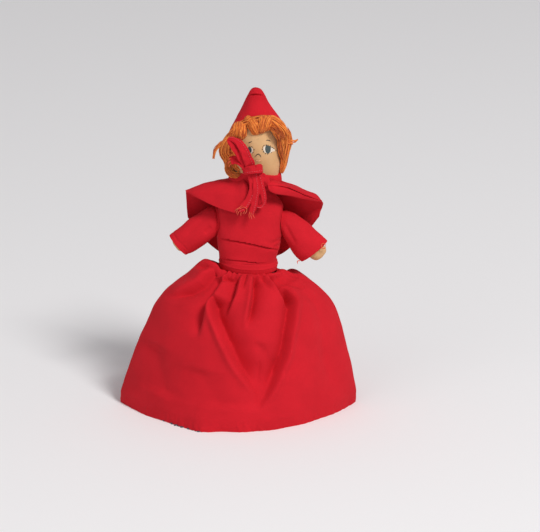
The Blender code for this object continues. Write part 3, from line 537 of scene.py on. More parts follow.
def hemPlace(u, v):
    # the strip goes up inside on the outer skirt's side and folds back down
    edge = skirtPlace(unevenTurn(u), np.zeros_like(u))[0]
    fold = 1 - np.abs(2 * v - 1)
    centre = np.array((doll["shift"], 0, 0))
    inward = (centre - edge) * np.array((1, 1, 0))
    inward /= np.linalg.norm(inward, axis=1)[:, None]
    edge[:, 2] = hemShape["low"] + hemShape["height"] * fold
    return edge + inward * (hemShape["inset"] + hemShape["foldInset"] * fold + hemShape["backInset"] * v)[:, None]


hem = gridPiece("hemBand", 240, 12, hemPlace, (0.38, 0.012), sewn=True)
thicken(hem, 0.25 * mm)
smooth(hem)
dress(hem, "hem", ["skirt_hem"], darkCotton)
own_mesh(hem)
print("skirts and hem made")


# Stuffed bodies and the dress over them, both dolls alike
bodyShape = {
    "height": 48 * mm, "halfWidth": 18.9 * mm, "halfDepth": 12.6 * mm, "neckHeight": 52 * mm, "square": 0.7,
    "sideStep": -0.5 * mm, "slim": [0.84, 0.88, 0.92] + [0.95] * 5,
    "rows": [(0.0, 0.855, 0.938), (0.17, 0.885, 0.955), (0.35, 0.968, 1.0), (0.52, 1.0, 1.0), (0.74, 1.0, 0.98),
             (0.84, 0.967, 0.92), (0.92, 0.83, 0.83), (1.0, 0.68, 0.73)],
}
headShape = {
    "base": 52.3 * mm, "height": 41.4 * mm, "halfWidth": 14.3 * mm, "halfDepth": 13.4 * mm, "sideStep": 0.8 * mm,
    "seamBack": 1.5 * mm,
    "rows": [(0.0, 0.0, 0.0), (0.03, 0.58, 0.37), (0.075, 0.90, 0.58), (0.145, 1.0, 0.73), (0.28, 1.03, 0.88),
             (0.47, 1.02, 0.985), (0.62, 1.0, 1.0), (0.765, 0.925, 0.94), (0.885, 0.735, 0.775),
             (0.965, 0.42, 0.45), (1.0, 0.0, 0.0)],
}
armShape = {
    "shoulder": 30 * mm, "reach": 19 * mm, "holeHalfHeight": 9.8 * mm, "holeHalfDepth": 7.1 * mm, "radius": 4.6 * mm,
    "cuffHalfDepth": 5.6 * mm, "cuffTurn": math.radians(5.0), "mitt": 12.5 * mm,
    "mittRows": [(0.12, 0.95, 0.86), (0.36, 1.12, 0.86), (0.62, 1.2, 0.80), (0.84, 1.05, 0.66), (0.96, 0.72, 0.42),
                 (1.0, 0.0, 0.0)],
}
collarShape = {"halfWidth": 15.9 * mm, "halfDepth": 12.4 * mm, "start": 51.2 * mm, "height": 6.2 * mm,
               "sideStep": 1.2 * mm}


def squared(turn, square):
    # a cosine or sine that keeps near 1 for longer: square 0 gives a round section, 1 a boxy one
    return np.sign(turn) * np.abs(turn) ** (1 - 0.4 * square)


def ringsPlace(rows, matrix, scale, square=0.0):
    # rings of a table, read upwards; scale is width, depth and height
    def place(u, v):
        high, wide, deep = alongTable(rows, v)
        angle = 2 * np.pi * u
        boxy = square * np.clip(np.minimum(high / 0.3, (0.95 - high) / 0.2), 0, 1)
        points = np.stack((wide * scale[0] * squared(np.cos(angle), boxy),
                           deep * scale[1] * squared(np.sin(angle), boxy), high * scale[2]), axis=1)
        return moved(points, matrix)
    return place


def makeTorso(prefix, matrix, girth, rise, material, slotName):
    # the body is slimmer than the dress, most of all at the waist
    rows = [(0.0, 0.0, 0.0)] + [(max(high, 0.006), wide * share, deep * (share - 0.02))
                                for share, (high, wide, deep) in zip(bodyShape["slim"], bodyShape["rows"])]
    neck = bodyShape["neckHeight"] / bodyShape["height"]
    rows += [(neck, 0.50, 0.54), (neck + 0.001, 0.0, 0.0)]
    scale = (bodyShape["halfWidth"] * girth, bodyShape["halfDepth"] * girth, bodyShape["height"] * rise)
    beside = matrix @ Matrix.Translation((bodyShape["sideStep"] * girth, 0, 0))
    torso = gridPiece(prefix + "Torso", 48, 60, ringsPlace(rows, beside, scale), (0.11, 0.06), sewn=True)
    roughen(torso, 7 * mm, 0.3 * mm, seed=5.0)
    smooth(torso)
    dress(torso, "dolls", [prefix + "_torso"], material)


bodiceFolds = [
    ([(219, 237.8), (234, 240.2), (250, 243.4), (268, 247.6), (280.5, 250.0)], (1.2, 1.6), (-0.6, 8)),
    ([(213.3, 204), (217, 213), (218.6, 224), (217.4, 235)], (1.0, 1.1), (1.0, 1.1)),
    ([(288, 200), (283.0, 210), (281.2, 221), (281.8, 236)], (0.6, 1.1), (0.6, 1.1)),
    ([(270.5, 244.6), (276, 241.6), (283, 238)], (0.7, 1.3), (0.6, 2.2)),
    ([(273, 248), (280, 244.5)], (0.5, 1.3), (0.5, 1.8)),
    ([(262, 240), (270, 243), (276, 247)], (0.35, 2.0), (0.35, 3)),
    ([(234, 200), (229, 222), (226, 234)], (0.35, 4), (0.35, 5)),
    ([(219, 258.4), (228, 259.2), (238, 260.2), (248, 261.6), (258, 262.8), (266, 263.0)], (1.0, 1.2), (-0.3, 3)),
]
backBodiceFolds = [([(222, 226), (250, 232), (281, 228)], (0.5, 2.5), (-0.3, 6)),
                   ([(250, 190), (250, 262)], (0.45, 0.9), (0.45, 0.9))]


def makeBodice(prefix, matrix, girth, rise, material, slotName, folds, backFolds, start):
    scale = (bodyShape["halfWidth"] * girth, bodyShape["halfDepth"] * girth, bodyShape["height"] * rise)
    waist, *above = bodyShape["rows"]
    rows = [(start, *waist[1:]), *above, (1.05, 0.60, 0.66), (1.10, 0.55, 0.60)]
    beside = matrix @ Matrix.Translation((bodyShape["sideStep"] * girth, 0, 0))
    place = ringsPlace(rows, beside, scale, bodyShape["square"])
    bodice = gridPiece(prefix + "Bodice", 220, 150, place, (0.106, 0.052), sewn=True)
    pressFolds(bodice, folds)
    pressFolds(bodice, backFolds, behind=True)
    roughen(bodice, 9 * mm, 0.35 * mm, seed=0.0 if prefix == "upper" else 1.0)
    roughen(bodice, 3 * mm, 0.08 * mm, seed=4.0)
    thicken(bodice, 0.4 * mm)
    smooth(bodice)
    dress(bodice, "dolls", [prefix + "_bodice"], material)


band = {"height": 5.7 * mm, "halfWidth": 15.9 * mm, "halfDepth": 12.2 * mm}


def makeWaistBand(prefix, matrix, girth, rise, material, slotName, start):
    # folded in two, with the fold at the top, and a tuck along its middle
    def place(u, v):
        angle = 2 * np.pi * u
        fold = 1 - np.abs(2 * v - 1)
        out = np.where(v < 0.5, 0.75 * mm, 0.2 * mm) + 0.35 * mm * np.sin(np.pi * fold)
        out = out + 0.3 * mm * np.exp(-((fold - 0.62 - 0.12 * np.sin(angle)) / 0.07) ** 2) * (v < 0.5)
        droop = 0.15 * mm * np.sin(angle * 2 + 1.0)
        points = np.stack(((band["halfWidth"] * girth + out) * np.cos(angle),
                           (band["halfDepth"] * girth + out) * np.sin(angle),
                           (start + band["height"] * fold) * rise + droop), axis=1)
        return moved(points, matrix)
    piece = gridPiece(prefix + "WaistBand", 140, 36, place, (0.1, 0.0104), sewn=True)
    thicken(piece, 0.25 * mm)
    smooth(piece)
    dress(piece, "dolls", [prefix + "_waist_band"], material)


def armLine(side, droop, girth, rise):
    # where an arm starts and the way that it points
    shoulder = np.array((side * armShape["reach"] * girth, 0, armShape["shoulder"] * rise))
    return shoulder, np.array((side * math.cos(droop), 0, -math.sin(droop))), "left" if side < 0 else "right"


def makeSleeve(prefix, matrix, girth, rise, side, arm, material, slotName, folds):
    shoulder, line, sideName = armLine(side, arm["droop"], girth, rise)
    length = arm["sleeve"] * rise
    lean = arm["droop"] + armShape["cuffTurn"]

    def place(u, v):
        angle = 2 * np.pi * u
        swell = alongValues([1.0, 1.04, 1.05, 1.03, 1.0], v)
        swell = swell - 0.10 * np.exp(-(v / 0.07) ** 2)        # tucked into the armhole's seam
        half = (armShape["holeHalfHeight"] * arm.get("hole", 1.0) * (1 - v) + arm["cuff"] * v) * rise * swell
        deep = (armShape["holeHalfDepth"] * (1 - v) + armShape["cuffHalfDepth"] * v) * girth * swell
        turn = lean * v
        up = np.stack((side * np.sin(turn), 0 * v, np.cos(turn)), axis=1)
        middle = shoulder + line * (length * v)[:, None]
        points = middle + up * (half * np.cos(angle))[:, None]
        points[:, 1] += deep * np.sin(angle)
        # the sewn edge bends in to meet the bodice
        highs, wides, deeps = np.array(bodyShape["rows"]).T
        high = points[:, 2] / (bodyShape["height"] * rise)
        flat = points[:, 1] / (np.interp(high, highs, deeps) * bodyShape["halfDepth"] * girth)
        power = 2 / (1 - 0.4 * bodyShape["square"])
        reach = np.maximum(0.05, 1 - np.abs(flat) ** power) ** (1 / power)
        reach *= np.interp(high, highs, wides) * bodyShape["halfWidth"] * girth
        pull = np.maximum(0, abs(shoulder[0]) - reach + 0.35 * mm)
        points[:, 0] -= side * pull * np.clip(1 - v / 0.3, 0, 1) ** 2
        return moved(points, matrix)
    sleeve = gridPiece(prefix + sideName.title() + "Sleeve", 110, 64, place, (0.053, 0.026), sewn=True)
    faceOutwards(sleeve)
    spots = pointsOf(sleeve)
    down = (moved(spots, matrix.inverted()) - shoulder) @ line / length
    tuck = np.exp(-((down - 0.93) / 0.012) ** 2) * 0.18 * mm + np.clip(0.06 - down, 0, 1) / 0.06 * 0.35 * mm
    setPoints(sleeve, spots - normalsOf(sleeve) * tuck[:, None])
    pressFolds(sleeve, folds)
    roughen(sleeve, 8 * mm, 0.6 * mm, seed=11.0 + side)
    thicken(sleeve, 0.45 * mm)
    smooth(sleeve)
    dress(sleeve, f"{prefix}_{sideName}_arm", [f"{prefix}_{sideName}_sleeve"], material)


def makeArm(prefix, matrix, girth, rise, side, arm, material, slotName):
    droop = arm.get("armDroop", arm["droop"])
    shoulder, line, sideName = armLine(side, droop, girth, rise)
    radius = armShape["radius"] * girth
    root = -1.3 * mm * girth
    length = (arm["sleeve"] + arm["mitt"] - armShape["mitt"]) * rise
    mitt = armShape["mitt"] * rise
    rows = [(root, 0.0, 0.0), (root, 1.0, 1.0), (length * 0.35, 1.07, 1.02), (length * 0.8, 1.05, 0.98)]
    rows += [(length + along * mitt, wide, deep) for along, wide, deep in armShape["mittRows"]]
    up = np.array((side * math.sin(droop), 0, math.cos(droop)))

    def place(u, v):
        along, wide, deep = alongTable(rows, v)
        angle = 2 * np.pi * u
        square = np.sign(np.cos(angle)) * np.abs(np.cos(angle)) ** 0.85
        points = (shoulder + line * along[:, None] + up * (wide * radius * square)[:, None]
                  + np.array((0, 1.0, 0)) * (deep * radius * np.sin(angle))[:, None])
        return moved(points, matrix)
    piece = gridPiece(prefix + sideName.title() + "Arm", 56, 84, place, (0.03, 0.04), sewn=True)
    faceOutwards(piece)
    pressSeam(piece, moved(pointsOf(piece), matrix.inverted())[:, 1], 0.35 * mm, 0.25 * mm)
    roughen(piece, 3.5 * mm, 0.28 * mm, seed=21.0 + side)
    smooth(piece)
    dress(piece, f"{prefix}_{sideName}_arm", [f"{prefix}_{sideName}_arm"], material)


def makeHead(prefix, matrix, girth, rise, material, slotName):
    scale = (headShape["halfWidth"] * girth, headShape["halfDepth"] * girth, headShape["height"] * rise)
    lifted = matrix @ Matrix.Translation((headShape["sideStep"] * girth, 0, headShape["base"] * rise))
    head = gridPiece(prefix + "Head", 96, 88, ringsPlace(headShape["rows"], lifted, scale), (0.085, 0.06), sewn=True)
    faceOutwards(head)
    pressSeam(head, moved(pointsOf(head), matrix.inverted())[:, 1] - headShape["seamBack"], 0.4 * mm, 0.3 * mm)
    roughen(head, 9 * mm, 0.35 * mm, seed=31.0)
    roughen(head, 2.5 * mm, 0.07 * mm, seed=37.0)
    smooth(head)
    dress(head, prefix + "_head", [prefix + "_head"], material)
    return head


def makeCollar(prefix, matrix, girth, rise, share, material, slotName):
    # a folded band round the neck, a little crushed
    def place(u, v):
        angle = 2 * np.pi * u
        fold = 1 - np.abs(2 * v - 1)
        out = np.where(v < 0.5, 0.45, -0.35) * mm + 0.35 * mm * np.sin(np.pi * fold)
        out = out + 0.3 * mm * np.sin(5 * angle + 1.3) * fold - (1.0 + 0.5 * fold) * mm
        # a corner of it stands up at the right cheek
        lift = 1 + 0.06 * np.sin(3 * angle + 0.6) + 0.5 * np.exp(-((angle - 6.06) / 0.09) ** 2)
        lift += 0.55 * np.maximum(0, -np.sin(angle)) ** 0.8
        x = collarShape["sideStep"] * girth + (collarShape["halfWidth"] * girth * share + out) * np.cos(angle)
        y = (collarShape["halfDepth"] * girth * share + out) * np.sin(angle)
        z = (collarShape["start"] + collarShape["height"] * fold * lift) * rise
        return moved(np.stack((x, y, z), axis=1), matrix)
    piece = gridPiece(prefix + "Collar", 132, 36, place, (0.089, 0.0124), sewn=True)
    thicken(piece, 0.25 * mm)
    smooth(piece)
    dress(piece, "dolls", [prefix + "_collar"], material)


# Hair: bundles of fine strands over a core, on the head
def strandMesh(name, routes, radii, tones, sides=5):
    # thin tubes, all in one mesh, each with its own tone
    verts, faces, shades = [], [], []
    for route, radius, tone in zip(routes, radii, tones):
        route = np.asarray(route, float)
        ahead = np.gradient(route, axis=0)
        ahead /= np.linalg.norm(ahead, axis=1)[:, None] + 1e-12
        side = np.cross(ahead[0], (0.3, 0.2, 0.9))
        start = len(verts)
        count = len(route)
        for index in range(count):
            side = side - ahead[index] * (side @ ahead[index])
            side /= np.linalg.norm(side) + 1e-12
            other = np.cross(ahead[index], side)
            taper = radius * min(1.0, 0.35 + 3.0 * min(index, count - 1 - index) / count)
            for step in range(sides):
                angle = 2 * math.pi * step / sides
                verts.append(route[index] + taper * (math.cos(angle) * side + math.sin(angle) * other))
                shades.append(tone)
        for index in range(count - 1):
            for step in range(sides):
                a = start + index * sides + step
                b = start + index * sides + (step + 1) % sides
                faces.append((a, b, b + sides, a + sides))
        faces.append([start + step for step in reversed(range(sides))])
        faces.append([start + (count - 1) * sides + step for step in range(sides)])
    mesh = bpy.data.meshes.new(name)
    mesh.from_pydata([tuple(point) for point in verts], [], faces)
    mesh.attributes.new("strandTone", "FLOAT", "POINT").data.foreach_set("value", np.array(shades, np.float32))
    mesh.update()
    piece = bpy.data.objects.new(name, mesh)
    bpy.context.scene.collection.objects.link(piece)
    smooth(piece, 80)
    return piece


def lineFrame(line, share):
    # the middle of a line of places, and its directions ahead, sideways and outwards as the camera sees it
    middle = alongTable(line, share).T
    ahead = (alongTable(line, np.clip(share + 0.01, 0, 1)) - alongTable(line, np.clip(share - 0.01, 0, 1))).T
    ahead /= np.linalg.norm(ahead, axis=1)[:, None]
    across = np.cross(ahead, viewForward)
    across /= np.linalg.norm(across, axis=1)[:, None]
    return middle, ahead, across, np.cross(across, ahead)


def ovalAlong(line, widths, depths, share, angle, size=1.0):
    # places round a line: widths and depths are half sizes along it, angle goes round
    middle, ahead, across, out = lineFrame(line, share)
    wide, deep = alongValues(widths, share) * size, alongValues(depths, share) * size
    return middle + across * (wide * np.cos(angle))[:, None] + out * (deep * np.sin(angle))[:, None]


# Each lock of yarn: places in photo pixels with their depth in mm, half widths in pixels, half thickness in mm,
# and how many strands it has
hair = {
    "strand": 0.23 * mm, "curl": 0.5 * mm, "backCount": 150,
    # packed yarn at the nape, in mm from the waist, and its half thickness
    "nape": [(-12.9, 4.7, 70.9), (-8.6, 10.0, 75.1), (0, 12.7, 77.1), (8.6, 10.0, 75.1), (12.9, 4.7, 70.9)],
    "napeSizes": [1.7 * mm, 3.1 * mm, 3.4 * mm, 3.1 * mm, 1.7 * mm],
    # rolled lumps over the forehead: place and depth, half width, half height, half thickness, turn in degrees
    "rolls": [
        (239.8, 130.6, -8.6, 8.1, 9.0, 5.0, 4, 170),
        (248.6, 119.9, -8.4, 4.2, 3.8, 3.0, 60, 50),
        (254.8, 126.6, -10.0, 6.6, 8.6, 4.6, -28, 130),
        (261.8, 124.6, -10.6, 5.0, 8.8, 4.6, 10, 100),
        (267.8, 123.2, -10.2, 4.4, 8.2, 4.4, 22, 90),
    ],
    "fringe": [
        ([(266.0, 118.8, -8.6), (271.2, 119.6, -10), (276.4, 123.4, -10.4), (281.0, 128.8, -9.8), (284.4, 135.0, -8.4)],
         [1.6, 3.4, 5.0, 5.6, 4.6], [1.4, 2.6, 3.2, 3.6, 3.4], 120),
        ([(269.6, 125.6, -10.5), (274.2, 128.0, -11), (278.6, 132.4, -10), (281.0, 138.4, -8.4)],
         [3.0, 5.0, 5.0, 3.4], [2.4, 4.0, 4.0, 3.0], 90),
        ([(236.0, 127.0, -8), (246, 122.8, -8.4), (256, 120.8, -9.0), (266, 119.8, -9.0), (275, 122.0, -8.0)],
         [2.0, 3.2, 3.6, 3.6, 2.6], [1.8, 2.6, 2.8, 2.8, 2.2], 50),
        ([(238.4, 127.4, -9), (236.0, 131.0, -10), (232.6, 135.4, -10), (229.8, 140.4, -9.4)],
         [2.0, 3.4, 4.0, 4.0], [1.6, 2.6, 3.0, 3.0], 64),
    ],
    "left": [
        ([(232.4, 132.8, -10.0), (229.2, 138.4, -9.6), (226.6, 145.0, -8.0), (225.6, 152.0, -6), (227.4, 158.6, -5.8),
          (228.2, 165.0, -6)],
         [2.6, 4.6, 5.8, 5.4, 4.0, 2.6], [1.8, 2.8, 3.8, 4.0, 3.4, 2.0], 120),
        ([(226.4, 157.0, -6), (227.6, 163.0, -6), (228.2, 168.6, -6.6), (231.2, 173.2, -7.8), (235.8, 174.8, -9),
          (240.0, 173.2, -9.8)],
         [2.8, 3.2, 3.4, 3.2, 2.6, 1.0], [2.6, 3.0, 3.0, 2.6, 2.0, 0.8], 66),
        ([(231.4, 150.0, -8), (232.0, 156.0, -8.4), (232.6, 162.0, -8.6), (235.4, 167.6, -9.4), (239.6, 171.0, -10)],
         [1.4, 2.0, 2.2, 2.0, 0.8], [1.4, 1.8, 2.0, 1.6, 0.6], 26),
        ([(226.0, 141.6, -9), (221.0, 143.4, -9.4), (216.8, 147.4, -9), (214.2, 153.0, -8.4), (213.4, 159.4, -8)],
         [1.8, 1.9, 1.3, 0.8, 0.2], [1.2, 1.0, 0.7, 0.4, 0.1], 17),
    ],
    "right": [
        ([(284.4, 129.0, -6), (286.6, 136.0, -5), (286.8, 144.0, -4.2), (285.4, 151.0, -3.6), (284.2, 157.0, -3.2),
          (283.6, 163.0, -3), (282.4, 168.6, -3.2), (281.2, 173.4, -3.6)],
         [3.4, 4.2, 4.0, 3.6, 3.2, 2.7, 2.2, 0.7], [3.0, 3.8, 3.8, 3.4, 2.8, 2.0, 1.4, 0.5], 116),
        ([(278.0, 133.6, -8.8), (279.8, 140.6, -7.8), (280.6, 147.4, -6.6), (281.6, 153.6, -5.4), (283.4, 160.0, -4.4)],
         [2.6, 3.3, 3.1, 2.5, 1.2], [2.4, 3.0, 2.8, 2.2, 1.0], 62),
        ([(287.6, 139.0, -7.6), (291.0, 141.0, -7.6), (294.6, 141.4, -7.4), (298.2, 139.2, -7)],
         [1.3, 0.9, 0.5, 0.1], [0.8, 0.6, 0.4, 0.1], 9),
        ([(287.0, 141.6, -8), (290.4, 143.6, -7.8), (293.4, 143.4, -7.6)], [0.8, 0.5, 0.1], [0.5, 0.3, 0.1], 5),
    ],
}


def strandsOf(line, widths, depths, count):
    # strands keep their place in the lock's section, most of them near its surface, and wave a little
    routes = []
    for index in range(count):
        shares = np.linspace(rng.uniform(0, 0.06), rng.uniform(0.93, 1.0), 13)
        phase, pace = rng.uniform(0, 2 * math.pi), rng.uniform(3.0, 9.0)
        angle = phase + rng.uniform(-0.5, 0.5) * shares
        away = math.sqrt(rng.uniform(0.5, 1.12)) if count > 30 else rng.uniform(0, 1)
        route = ovalAlong(line, widths, depths, shares, angle, away)
        across = lineFrame(line, shares)[2]
        routes.append(route + across * (hair["curl"] * np.sin(pace * shares + 2 * phase))[:, None])
    return routes


def rolledStrands(roll):
    # strands wrapped over a lump, from behind its top to behind its bottom, closer together at both ends
    px, py, depth, wide, high, deep, turn, count = roll
    middle = np.array(fromPhoto(px, py, depth * mm))
    turn = math.radians(turn)
    right = np.array((1.0, 0.0, 0.0))
    along = viewUp * math.cos(turn) + right * math.sin(turn)
    across = right * math.cos(turn) - viewUp * math.sin(turn)
    wide, high = wide * view["pixel"], high * view["pixel"]
    routes = []
    for index in range(count):
        place, shell = rng.uniform(-0.98, 0.98), rng.uniform(0.86, 1.04)
        turns = np.linspace(rng.uniform(1.5, 2.0), rng.uniform(-2.1, -1.7), 15)
        wave = 0.3 * mm * np.sin(rng.uniform(2, 5) * turns + rng.uniform(0, 6))
        beside = wide * shell * place * (0.72 + 0.28 * np.cos(turns)) + wave
        forward = deep * mm * shell * math.sqrt(1 - place ** 2) * np.cos(turns)
        upward = high * shell * np.sin(turns) * (0.55 + 0.45 * math.sqrt(1 - place ** 2))
        routes.append(middle + np.outer(beside, across) + np.outer(upward, along) - np.outer(forward, viewForward))
    line = [tuple(middle + along * high * step) for step in (-0.9, -0.45, 0.0, 0.45, 0.9)]
    return routes, line, [wide * 0.92] * 5, [deep * 0.9 * mm] * 5


def joined(pieces):
    bpy.ops.object.select_all(action="DESELECT")
    for piece in pieces:
        piece.select_set(True)
    bpy.context.view_layer.objects.active = pieces[-1]
    bpy.ops.object.join()
    return pieces[-1]


def makeHair(prefix, matrix, girth, rise, material, slotName):
    node = "hair_" if prefix == "upper" else "second_hair_"

    def toHead(points):
        return moved(moved(points, upperFrame.inverted()) * np.array((girth, girth, rise)), matrix)

    def finished(name, cores, routes, nodes):
        radii = rng.uniform(0.75, 1.25, len(routes)) * hair["strand"] * girth
        strands = strandMesh(name, [toHead(route) for route in routes], radii, rng.uniform(0.0, 0.8, len(routes)))
        # the cores carry no strandTone, so the joined lock shows them darker: painted shade between the strands
        piece = joined(cores + [strands])
        dress(piece, prefix + "_head", nodes, material)

    def packedCore(line, widths, depths):
        # the imported yarn inside a lock; with no strandTone it renders darker, as painted shade between the strands
        def place(u, v):
            round_ = np.sqrt(np.clip(4 * v * (1 - v), 0, 1)) * 0.86
            return toHead(ovalAlong(line, widths, depths, v, 2 * np.pi * u, round_))
        core = gridPiece("core", 16, 18, place, (0.01, 0.02), sewn=True)
        faceOutwards(core)
        roughen(core, 2.0 * mm, 0.3 * mm, seed=2.0)
        smooth(core)
        return core

    for group in ("fringe", "left", "right"):
        cores, routes = [], []
        for roll in hair["rolls"] if group == "fringe" else []:
            strands, *inside = rolledStrands(roll)
            routes += strands
            cores.append(packedCore(*inside))
        for spots, widths, depths, count in hair[group]:
            line = [tuple(fromPhoto(px, py, depth * mm)) for px, py, depth in spots]
            widths = [width * view["pixel"] for width in widths]
            depths = [depth * mm for depth in depths]
            routes += strandsOf(line, widths, depths, count)
            if count > 30:
                cores.append(packedCore(line, widths, depths))
        finished(prefix + "Hair" + group.title(), cores, routes, [node + group])

    # combed back over the crown, between the head and the hood
    routes = []
    for index in range(hair["backCount"]):
        across = rng.uniform(-1.05, 1.05)
        turn = np.linspace(0.9, 3.1, 12)
        flat = math.sqrt(max(0.05, 1 - min(1.0, abs(across)) ** 2))
        x = 1.0 * mm + across * 14.0 * mm * np.sin(np.clip(turn * 0.62 + 0.35, 0, 1.57))
        y = 1.2 * mm - 15.0 * mm * np.cos(turn) * (0.55 + 0.45 * flat)
        z = 75.5 * mm + 17.3 * mm * np.sin(np.clip(turn + 0.025 * rng.uniform(-1, 1), 0, 3.3)) * flat
        routes.append(moved(np.stack((x, y, z), axis=1), upperFrame))
    nape = moved(np.array(hair["nape"]) * mm, upperFrame)
    finished(prefix + "HairBack", [packedCore(nape, hair["napeSizes"], hair["napeSizes"])], routes, [node + "back"])


# Face: fabric paint on the head's cloth, in photo pixels
face = {
    "lift": 0.05 * mm, "film": 0.07 * mm, "line": 0.25 * mm,
    "EyeWhite": [
        [(263.3, 149.4), (263.5, 147.4), (264.8, 146.0), (267.6, 145.7), (270.8, 147.4), (273.0, 148.3), (274.9, 150.0),
         (274.3, 151.1), (272.2, 151.6), (270.0, 152.9), (267.4, 153.3), (264.6, 152.3)],
        [(251.0, 147.4), (252.4, 148.2), (253.0, 150.0), (252.6, 152.0), (251.6, 153.2), (250.2, 152.9), (248.6, 151.4),
         (248.4, 149.0), (249.4, 147.4)],
    ],
    "Iris": [
        [(265.0, 149.4), (265.3, 146.8), (266.1, 144.9), (267.6, 145.5), (269.4, 145.9), (270.6, 146.8), (270.5, 149.6),
         (270.0, 152.0), (268.0, 153.7), (266.0, 152.4)],
        [(247.4, 149.6), (248.0, 147.6), (249.6, 146.9), (251.0, 147.5), (251.7, 149.6), (251.5, 151.6), (250.3, 152.8),
         (248.4, 152.2)],
    ],
    "Mouth": [[(255.8, 160.4), (257.2, 159.9), (258.4, 160.2), (259.6, 159.9), (261.0, 160.4), (259.9, 161.2),
               (258.4, 161.5), (256.9, 161.2)]],
    "lines": [
        # right eye: outline, lashes and brow
        [(262.9, 146.5), (262.4, 147.4)], [(262.3, 148.4), (262.4, 150.2)], [(263.0, 151.2), (264.2, 152.4)],
        [(265.0, 152.9), (265.6, 154.2)], [(267.6, 153.8), (267.8, 154.4)], [(263.4, 145.9), (264.6, 145.1)],
        [(266.4, 145.8), (266.1, 144.3)], [(268.0, 145.6), (268.2, 144.8)], [(270.2, 146.6), (270.7, 145.5)],
        [(271.3, 147.0), (272.8, 147.7)], [(273.1, 148.2), (274.2, 148.8)], [(275.5, 150.4), (275.8, 150.9)],
        [(270.9, 152.7), (271.7, 152.3)],
        [(266.1, 140.5), (267.6, 140.1), (269.2, 140.6), (270.7, 141.4)],
        # left eye
        [(251.0, 147.0), (251.5, 146.2)], [(249.4, 146.9), (249.2, 146.0)], [(253.9, 148.7), (254.1, 150.6)],
        [(253.4, 151.8), (252.6, 153.1)], [(252.8, 147.5), (252.1, 146.8)],
        [(248.3, 142.9), (249.9, 142.4), (251.9, 141.3)],
        # nose, and a tiny mark on the forehead
        [(255.0, 157.2), (255.8, 155.8), (257.2, 154.5), (258.2, 154.0), (259.3, 154.5), (260.4, 155.8),
         (261.0, 157.1)],
        [(258.0, 138.9), (258.3, 139.2)],
    ],
}


def treeOf(piece):
    return BVHTree.FromPolygons([tuple(point) for point in pointsOf(piece)],
                                [tuple(polygon.vertices) for polygon in piece.data.polygons])


def paintFace(prefix, matrix, girth, rise):
    tree, drawnOn = treeOf(heads[prefix]), treeOf(heads["upper"])
    forwards = matrix.to_3x3() @ Vector((0, 1, 0))

    def onHead(pixels, lift):
        # where the pixels meet the upper head, brought to this head
        spots = []
        for px, py in pixels:
            local = upperFrame.inverted() @ drawnOn.ray_cast(Vector(eye), Vector(photoRay(px, py)))[0]
            start = matrix @ Vector((local.x * girth, local.y * girth - 12 * mm, local.z * rise))
            spot, normal = tree.ray_cast(start, forwards)[:2]
            spots.append(tuple(spot + normal * lift))
        return np.array(spots)

    for kind, material, layer in (("EyeWhite", inkWhite, 1), ("Iris", inkDark, 2), ("Mouth", inkPink, 1)):
        for index, outline in enumerate(face[kind]):
            def place(u, v):
                middle = np.mean(outline, axis=0)
                edge = alongTable(outline + outline[:1], u).T
                return onHead(middle + (edge - middle) * v[:, None], face["lift"] * layer)
            patch = gridPiece(prefix + kind + str(index + 1), 32, 5, place, (0.004, 0.004), sewn=True)
            faceOutwards(patch, matrix @ Vector((0, 0, 70 * mm * rise)))
            thicken(patch, face["film"], offset=1.0)
            dress(patch, prefix + "_head", [], material)
    routes = [onHead(alongTable(line, np.linspace(0, 1, 4 * len(line))).T, face["lift"]) for line in face["lines"]]
    drawn = strandMesh(prefix + "FaceLines", routes, [face["line"]] * len(routes), [0.5] * len(routes), sides=6)
    dress(drawn, prefix + "_head", [], inkLine)


heads = {}


def makeDoll(who):
    common = (who["name"], who["frame"], who["girth"], who["rise"])
    makeTorso(*common, *who["skin"])
    makeBodice(*common, *who["cloth"], who["bodiceFolds"], who["backFolds"], who["bodiceStart"])
    makeWaistBand(*common, *who["cloth"], who["bandStart"])
    for side, arm in who["arms"].items():
        makeArm(*common, side, arm, *who["skin"])
        makeSleeve(*common, side, arm, *who["cloth"], arm["folds"])
    heads[who["name"]] = makeHead(*common, *who["skin"])
    paintFace(*common)
    makeCollar(*common, who["collar"], *who["cloth"])
    makeHair(*common, *who["yarn"])
    print(who["name"], "doll dressed")


leftArm = {
    "droop": math.radians(38.0), "sleeve": 28.4 * mm, "cuff": 7.6 * mm, "mitt": 1.9 * mm,
    "folds": [([(213.3, 204), (217, 213), (218.2, 224), (216.4, 234)], (1.0, 1.1), (1.0, 1.1)),
              ([(206, 216), (196, 226), (184, 238)], (0.5, 3), (0.5, 4)),
              ([(211, 226), (204, 234)], (0.7, 2), (0.7, 3)),
              ([(171.6, 231.0), (178, 240.5), (189.6, 253.0)], (0.3, 0.8), (0.3, 0.8))],
}
rightArm = {
    "droop": math.radians(42.5), "sleeve": 25.4 * mm, "cuff": 9.6 * mm, "mitt": 5.8 * mm,
    "armDroop": math.radians(40.0), "hole": 0.88,
    "folds": [([(296, 214), (305, 228), (312, 240)], (0.5, 4), (0.5, 3)),
              ([(284, 222), (291, 236), (297, 246)], (0.7, 3), (0.7, 2))],
}
makeDoll({"name": "upper", "frame": upperFrame, "girth": 1.0, "rise": 1.0, "collar": 1.0, "bodiceStart": 0.0,
          "bandStart": 0.9 * mm, "bodiceFolds": bodiceFolds, "backFolds": backBodiceFolds,
          "arms": {-1: leftArm, 1: rightArm}, "skin": (tanCloth, "skin_cotton"),
          "cloth": (redCotton, "red_cotton"), "yarn": (orangeYarn, "orange_yarn")})

